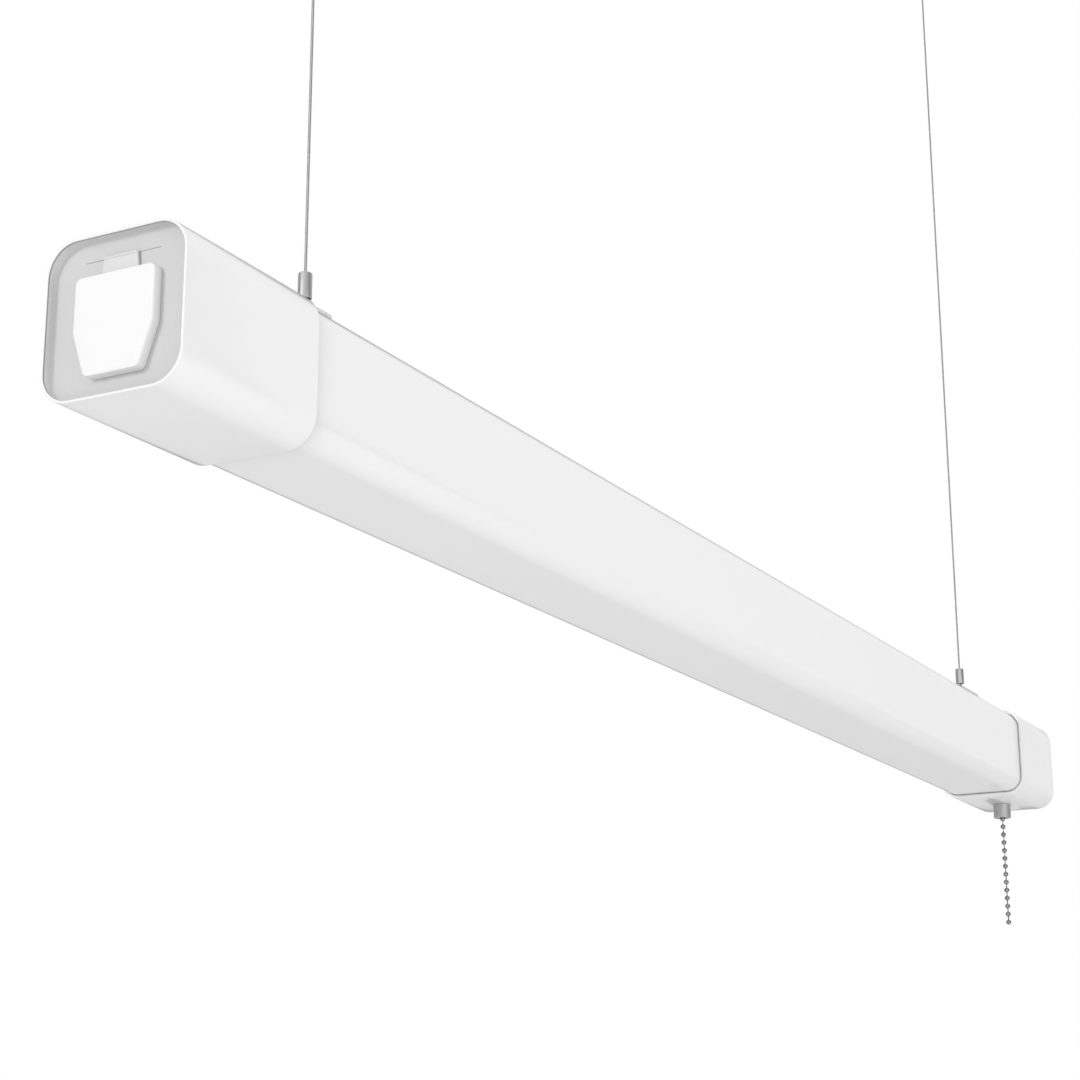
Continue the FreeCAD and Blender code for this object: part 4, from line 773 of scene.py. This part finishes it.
def openForChain(cap):
    # the sleeve's outer and inner face under the switch come out, and their edges are joined
    # into an opening that the collar hides
    work = bmesh.new()
    work.from_mesh(cap.data)
    half = capSize["chainHalf"] * mm

    def underSwitch(face):
        spot = face.calc_center_median()
        return abs(spot.x - chainX) < half and abs(spot.y) < half and spot.z < lineHeight

    faces = [face for face in work.faces if underSwitch(face)]
    edges = [edge for face in faces for edge in face.edges]
    bmesh.ops.delete(work, geom=faces, context="FACES_ONLY")
    bmesh.ops.bridge_loops(work, edges=edges)
    bmesh.ops.recalc_face_normals(work, faces=work.faces)
    work.to_mesh(cap.data)
    work.free()


openingLoop = insetLoop(shieldLoop(shieldSize), capSize["openingInset"])
glandTurn = fullTurn(capSize["glandSteps"])
glandLoop = capSize["glandHole"] * np.stack([np.cos(glandTurn), np.sin(glandTurn)], axis=-1)
nearRows, nearMarks = capRows(capSize, openingLoop)
chainStops = [(farEnd - chainX) / mm + way * capSize["chainHalf"] for way in (-1, 1)]
farRows, farMarks = capRows(capSize, glandLoop, chainStops)
addPiece("nearCap", "housing", "nearCap", toNear(nearRows), ["near_cap"], closed=True,
         marks=nearMarks)
farCap = addPiece("farCap", "housing", "farCap", toFar(farRows), ["far_cap"], closed=True,
                  marks=farMarks)
openForChain(farCap)
print("end caps made")


lensSize = {"halfY": 32.5, "halfZ": 32.1, "corner": 12.1, "wall": 1.6, "slotHalf": 18.0, "lipEnd": 26.1,
            "edge": 0.25, "inset": 56.0, "stations": 9, "arcSteps": 24, "runSteps": 3}


def lensSection(size):
    # the C-shaped section: out from one lip round the outside to the other, and back inside
    outY, outZ, wall, lip = size["halfY"], size["halfZ"], size["wall"], size["slotHalf"]
    inY, inZ, edge = outY - wall, outZ - wall, size["edge"]
    right = [(lip, size["lipEnd"], edge), (lip, outZ, edge), (outY, outZ, size["corner"]),
             (outY, -outZ, size["corner"])]
    inner = [(-inY, -inZ, size["corner"] - wall), (-inY, inZ, size["corner"] - wall),
             (-(lip + wall), inZ, edge), (-(lip + wall), size["lipEnd"], edge)]
    mirror = [(-y, z, bend) for y, z, bend in reversed(right)]
    inside = inner[::-1] + [(-y, z, bend) for y, z, bend in inner]
    return roundedLoop(right + mirror + inside, size["arcSteps"], size["runSteps"])


section = lensSection(lensSize)
span = (farEnd - nearEnd) / mm - 2 * lensSize["inset"]
stations = lensSize["inset"] + span * np.linspace(0, 1, lensSize["stations"])
lensRows = toNear([atX(x, section) for x in stations])
addPiece("opalLens", "housing", "lens", lensRows, ["opal_lens"])
print("lens made")


coverSize = {"front": 0.1, "back": 4.9, "wall": 1.2, "edge": 0.7, "crown": 0.06, "hollow": 1.5,
             "shares": (0.02, 0.3, 0.6, 0.85)}
strapSize = {"axisX": 3.9, "axisZ": 25.1, "thick": 1.3, "rootHalf": 8.2, "footHalf": 9.3, "footZ": 16.5,
             "edge": 0.35, "slack": 0.15, "root": 0.75, "rootShare": 0.35}


def coverRows(size, outline):
    # the shield's edge rounded over to a face that falls off with the square of its share of the
    # way out, and the same shield hollowed behind
    sine, cosine = quarter(7)
    middle = outline.mean(axis=0)
    front, back, edge, crown = size["front"], size["back"], size["edge"], size["crown"]
    face = insetLoop(outline, edge)
    rows = [atX(front + crown * share ** 2, middle + (face - middle) * share) for share in size["shares"]]
    rows += [atX(front + crown + edge * (1 - c), insetLoop(outline, edge * (1 - s)))
             for s, c in zip(sine, cosine)]
    inner = insetLoop(outline, size["wall"])
    rows += [atX(back, outline), atX(back, inner), atX(size["hollow"], inner),
             atX(size["hollow"], middle + (inner - middle) * size["shares"][0])]
    return np.array(rows)


def strapRows(size):
    # a flat strip that comes out of the slit, turns down over its bend and runs to the cover,
    # widening a little: its section is a thin rounded rectangle across the path
    turn = np.linspace(np.pi, np.pi / 2, 9)
    bend = size["thick"] / 2 + size["slack"]
    axisX, axisZ = size["axisX"], size["axisZ"]
    arc = np.stack([axisX + bend * np.cos(turn), axisZ - bend + bend * np.sin(turn)], axis=-1)
    path = np.concatenate([[(axisX + size["root"], axisZ)], arc, [(arc[-1, 0], size["footZ"])]])
    along = unit(np.gradient(path, axis=0))
    side = np.stack([along[:, 1], -along[:, 0]], axis=-1)
    reach = np.clip((axisZ - path[:, 1]) / (axisZ - size["footZ"]), 0, 1)
    half = size["rootHalf"] + (size["footHalf"] - size["rootHalf"]) * reach
    rows = []
    for spot, across, wide, share in zip(path, side, half, np.linspace(size["rootShare"], 1.0, len(path))):
        thick = size["thick"] / 2 * share
        corners = [(y * wide, out * thick, size["edge"] * share) for y, out in cornerSigns]
        loop = roundedLoop(corners, 6, 4)
        rows.append(np.column_stack([spot[0] + across[0] * loop[:, 1], loop[:, 0],
                                     spot[1] + across[1] * loop[:, 1]]))
    return np.array(rows)


shield = shieldLoop(shieldSize)
addPiece("socketCover", "cover", "cover", toNear(coverRows(coverSize, shield)),
         ["socket_cover"])
# the strap takes the shaded copy of the cover's rubber
addPiece("coverStrap", "cover", "shadedStrap", toNear(strapRows(strapSize)))
print("socket cover made")


collarSize = {"radius": 7.1, "top": 34.85, "drop": 11.4, "short": 0.1, "mouth": 4.4, "bore": 2.9, "lip": 3.2,
              "round": 0.6, "steps": 64}
beadSize = {"radius": 2.1, "hollow": 1.6, "pitch": 6.63, "first": 46.8, "seam": 0.05, "seamAngle": 0.06,
            "pole": 0.08, "steps": 22, "mouthSteps": 20, "inside": 0.05, "insideSteps": 16, "sides": 28,
            "link": 0.45, "linkSides": 12, "ball": 1.5, "ballSteps": 14, "swing": 20.0, "play": 1.6,
            "plunger": 8.0, "overlap": 0.1}


def addCollar(size):
    # a plain barrel with a rounded lower edge and a flared mouth, open up its bore
    sine, cosine = quarter()
    foot = size["top"] + size["drop"] - size["short"]
    radius, bore, bend = size["radius"], size["bore"], size["round"]
    edge = np.stack([radius - bend * (1 - cosine), -foot + bend * (1 - sine)], axis=-1)
    profile = np.concatenate([[(bore, -size["top"]), (radius, -size["top"])], edge,
                              [(size["mouth"], -foot), (bore, -foot + size["lip"])]])
    rows = lathe(profile * mm + (0, lineHeight), chainX, size["steps"])
    addPiece("switchCollar", "housing", "collar", rows, ["switch_collar"], closed=True)


def beadProfile(size, height, hollow):
    # part of a circle down from its pole, pinched at its middle seam by a bell curve of the angle;
    # a hollow bead stops at its flared mouth and goes on back over the inside of the shell
    pole = size["pole"]

    def mouthAngle(radius):
        return np.pi - np.radians(size["swing"] + size["play"]) - np.arcsin(size["link"] / radius)

    outer = np.linspace(pole, np.pi - pole, size["steps"])
    if hollow:
        outer = np.linspace(pole, mouthAngle(size["radius"]), size["mouthSteps"])
    radius = size["radius"] - size["seam"] * np.exp(-((outer - np.pi / 2) / size["seamAngle"]) ** 2)
    shell = np.stack([radius * np.sin(outer), height + radius * np.cos(outer)], axis=-1)
    if not hollow:
        return shell
    inner = np.linspace(mouthAngle(size["hollow"]), size["inside"], size["insideSteps"])
    inside = size["hollow"] * np.stack([np.sin(inner), np.cos(inner)], axis=-1) + (0, height)
    return np.concatenate([shell, inside])


def linkProfile(size, top, foot, ball):
    # a thin rod, with a ball at its top where it hangs in the bead above
    link = size["link"]
    if not ball:
        return np.array([(0, top), (link, top), (link, foot), (0, foot)])
    turn = np.linspace(size["inside"], np.pi - np.arcsin(link / size["ball"]), size["ballSteps"])
    outline = size["ball"] * np.stack([np.sin(turn), np.cos(turn)], axis=-1) + (0, top)
    return np.concatenate([outline, [(link, foot), (0, foot)]])


def addChainRun(letter, node, first, last, opens=True):
    size = beadSize

    def height(bead):
        return -size["first"] - bead * size["pitch"]

    def turned(profile, name, steps, replaces=()):
        rows = lathe(profile * mm + (0, lineHeight), chainX, steps)
        return addPiece(name, "chain_" + letter, "chain", rows, replaces)

    for bead in range(first, last + 1):
        name = "chain%sBead%d" % (letter.upper(), bead - first)
        profile = beadProfile(size, height(bead), opens and bead == last)
        turned(profile, name, size["sides"], [node] if bead == first else ())
    starts = letter == "a"
    top = height(first) + size["plunger"] if starts else height(first - 1)
    foot = height(last) + size["radius"] - size["overlap"]
    turned(linkProfile(size, top, foot, not starts), "chain%sLink" % letter.upper(), size["linkSides"])


addCollar(collarSize)
addChainRun("a", "chain_upper", -3, 1)
addChainRun("b", "chain_second", 2, 5)
addChainRun("c", "chain_third", 6, 9)
addChainRun("d", "chain_end", 10, 13, opens=False)
print("pull chain made")


glandSize = {"flange": 11.0, "front": 1.9, "bore": 3.9, "neck": 7.5, "edge": 0.8, "back": 16.1, "seat": 4.9,
             "lead": ((1.2, 0.0), (0.4, 0.35), (0.0, 1.0)), "steps": 64}


def addGland(size):
    # flange with a rounded face, a lead-in to its bore, and the neck behind, turned about the
    # light's line
    sine, cosine = quarter()
    front, flange, edge, seat = size["front"], size["flange"], size["edge"], size["seat"]
    rounded = np.stack([flange - edge * (1 - sine), front + edge * (1 - cosine)], axis=-1)
    bore = [(size["bore"], size["back"])]
    bore += [(size["bore"] + wide, front + deep) for deep, wide in size["lead"]]
    profile = np.concatenate([bore, rounded, [(flange, seat), (size["neck"], seat),
                                              (size["neck"], size["back"])]])
    turn = fullTurn(size["steps"])
    radius, x = profile[:, :1], np.repeat(profile[:, 1:], len(turn), axis=1)
    rows = np.stack([x, radius * np.cos(turn), radius * np.sin(turn)], axis=-1)
    addPiece("cordGland", "housing", "gland", toFar(rows), ["cord_gland"], closed=True)


screwSize = {"head": 3.8, "rise": 2.2, "shank": 2.0, "length": 7.0, "fall": 0.55, "steps": 72,
             "inner": (0.02, 0.7, 16), "outer": (0.74, 1, 8), "slotLong": 2.3, "slotWide": 0.55,
             "slotDeep": 1.2, "flankSoft": 0.07, "endSoft": 0.12, "capPitch": 32.0, "clipHalf": 12.0}


def addScrew(name, x, seat, replaces=()):
    # pan head: its height falls with the fourth power of the share of the radius and drops to the
    # seat at the edge, and a cross of two slots with logistic flanks is pressed in
    size = screwSize
    turn = fullTurn(size["steps"])
    share = np.concatenate([np.linspace(*size["inner"]), np.linspace(*size["outer"])])[:, None]
    u, v = size["head"] * share * np.cos(turn), size["head"] * share * np.sin(turn)

    def slot(a, b):
        wide = 1 / (1 + np.exp((np.abs(a) - size["slotWide"]) / size["flankSoft"]))
        return wide / (1 + np.exp((np.abs(b) - size["slotLong"]) / size["endSoft"]))

    def level(radius, height):
        x, y = radius * np.cos(turn), radius * np.sin(turn)
        return np.column_stack([x, y, np.full(len(turn), height)])[None]

    dome = size["rise"] * (1 - size["fall"] * share ** 4) * np.sqrt(1 - share ** 12)
    heights = dome - size["slotDeep"] * np.maximum(slot(u, v), slot(v, u))
    foot = -size["length"]
    rows = np.concatenate([np.stack([u, v, heights], axis=-1), level(size["head"], 0.0),
                           level(size["shank"], 0.0), level(size["shank"], foot),
                           level(size["inner"][0], foot)])
    addPiece(name, "housing", "zinc", rows * mm + (x, 0, seat), replaces, sharp=50)


def screwPlaces(node, low, high):
    # the cap screws in a pair at each end, the clip screws one on each side of a hanging point
    size = screwSize
    if node == "clip_screws":
        half = size["clipHalf"] * mm
        return [hangX[side] + way * half for side in ("near", "far") for way in (-1, 1)]
    radius, pitch = size["head"] * mm, size["capPitch"] * mm
    return [low.x + radius, low.x + radius + pitch, high.x - radius - pitch, high.x - radius]


addGland(glandSize)
for node in ("cap_screws", "clip_screws"):
    low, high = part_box(node)
    seat = high.z - screwSize["rise"] * mm
    for index, x in enumerate(screwPlaces(node, low, high)):
        addScrew("%sScrew%d" % (node.split("_")[0], index), x, seat, [node] if index == 0 else ())
print("gland and screws made")


stageLook = {
    "floorDrop": 1.75, "floorSize": 40.0, "floor": 0.94, "floorDim": 0.985, "speck": 0.004,
    "floorRoughness": 0.7, "floorVary": 0.05, "floorGlow": 0.5,
    "ambient": 0.75, "lean": (-0.10, 0.04, 0.0), "dark": 0.03, "darkFrom": 0.17, "darkSoft": 0.2,
    "onwardFrom": 0.35, "onwardSoft": 0.5, "flankSoft": 0.12,
    "flanks": ((0.085, -0.990, -0.110, 0.64), (-0.775, 0.623, -0.110, 0.64), (0.471, -0.883, 0.0, 0.88)),
}
lamps = {
    "key": {"place": (-2.7, 0.75, -0.1), "aim": (-0.5, 0, -0.72), "size": 0.7, "power": 17.5},
    "side": {"place": (-1.0, -2.3, -1.15), "aim": (0.0, 0, -0.72), "size": 1.1, "power": 14.8},
}


def addFloor(look):
    half, drop = look["floorSize"] / 2, look["floorDrop"]
    mesh = bpy.data.meshes.new("floor")
    corners = [(x * half, y * half, -drop) for x, y in ((-1, -1), (1, -1), (1, 1), (-1, 1))]
    mesh.from_pydata(corners, [], [(0, 1, 2, 3)])
    finish = Finish(bpy.data.materials.new("floorPaint"))
    speck = finish.noise(finish.place(), look["speck"], 3.0)
    finish.feed(Base_Color=finish.greys(speck, look["floor"], look["floorDim"]),
                Roughness=look["floorRoughness"] + speck * look["floorVary"])
    # seen directly, a share of its light is plain white, so that it stays pale and keeps shadows
    light = finish.node("ShaderNodeLightPath", output="Is Camera Ray")
    white = finish.node("ShaderNodeEmission", None, {"Strength": 1.0})
    tree = finish.tree
    blend = tree.nodes.new("ShaderNodeMixShader")
    tree.links.new((light * look["floorGlow"]).socket, blend.inputs[0])
    tree.links.new(finish.shader.outputs[0], blend.inputs[1])
    tree.links.new(white.socket, blend.inputs[2])
    tree.links.new(blend.outputs[0], tree.nodes["Material Output"].inputs[0])
    mesh.materials.append(finish.owner)
    floor = bpy.data.objects.new("floor", mesh)
    scene.collection.objects.link(floor)


def addLamp(name, settings):
    data = bpy.data.lights.new(name, "AREA")
    data.shape = "DISK"
    data.size = settings["size"]
    data.energy = settings["power"]
    lamp = bpy.data.objects.new(name, data)
    back = unit(np.array(settings["place"]) - settings["aim"])
    side = unit(np.cross((0, 0, 1), back))
    turn = np.eye(4)
    turn[:3, :3] = np.stack([side, np.cross(back, side), back], axis=1)
    turn[:3, 3] = settings["place"]
    lamp.matrix_world = Matrix(turn.tolist())
    scene.collection.objects.link(lamp)


def setWorld(look):
    # white where it is seen; for reflections white, but dark beyond the light's far side, which
    # draws its edges, and in the flanks' directions, which shape the bright metal; and for
    # everything else a pale level plus the dot product of the direction and a slight lean
    scene.world = bpy.data.worlds.new("studio")
    finish = Finish(scene.world)
    direction = finish.node("ShaderNodeTexCoord", output="Generated")
    x, y = finish.axes(direction)[:2]
    beyond = 1 - y.below(look["darkFrom"], look["darkSoft"])
    onward = 1 - x.below(look["onwardFrom"], look["onwardSoft"])
    shown = 1 - beyond * onward * (1 - look["dark"])
    for *flank, edge in look["flanks"]:
        shown = shown * finish.dot(direction, flank).below(edge, look["flankSoft"])
    soft = (finish.dot(direction, look["lean"]) + look["ambient"]).math("MAXIMUM", 0.0)
    seen = finish.node("ShaderNodeLightPath", output="Is Camera Ray")
    glossy = finish.node("ShaderNodeLightPath", output="Is Glossy Ray")
    clear = finish.node("ShaderNodeLightPath", output="Is Transmission Ray")
    sharp = (glossy + clear).math("MINIMUM", 1.0)
    strength = seen + (1 - seen) * (sharp * shown + (1 - sharp) * soft)
    background = finish.tree.nodes["Background"]
    finish.link(strength, background.inputs["Strength"])
    finish.link(grey(1.0), background.inputs["Color"])


addFloor(stageLook)
for name, settings in lamps.items():
    addLamp(name, settings)
setWorld(stageLook)
scene.view_settings.view_transform = "Standard"
print("studio lit")
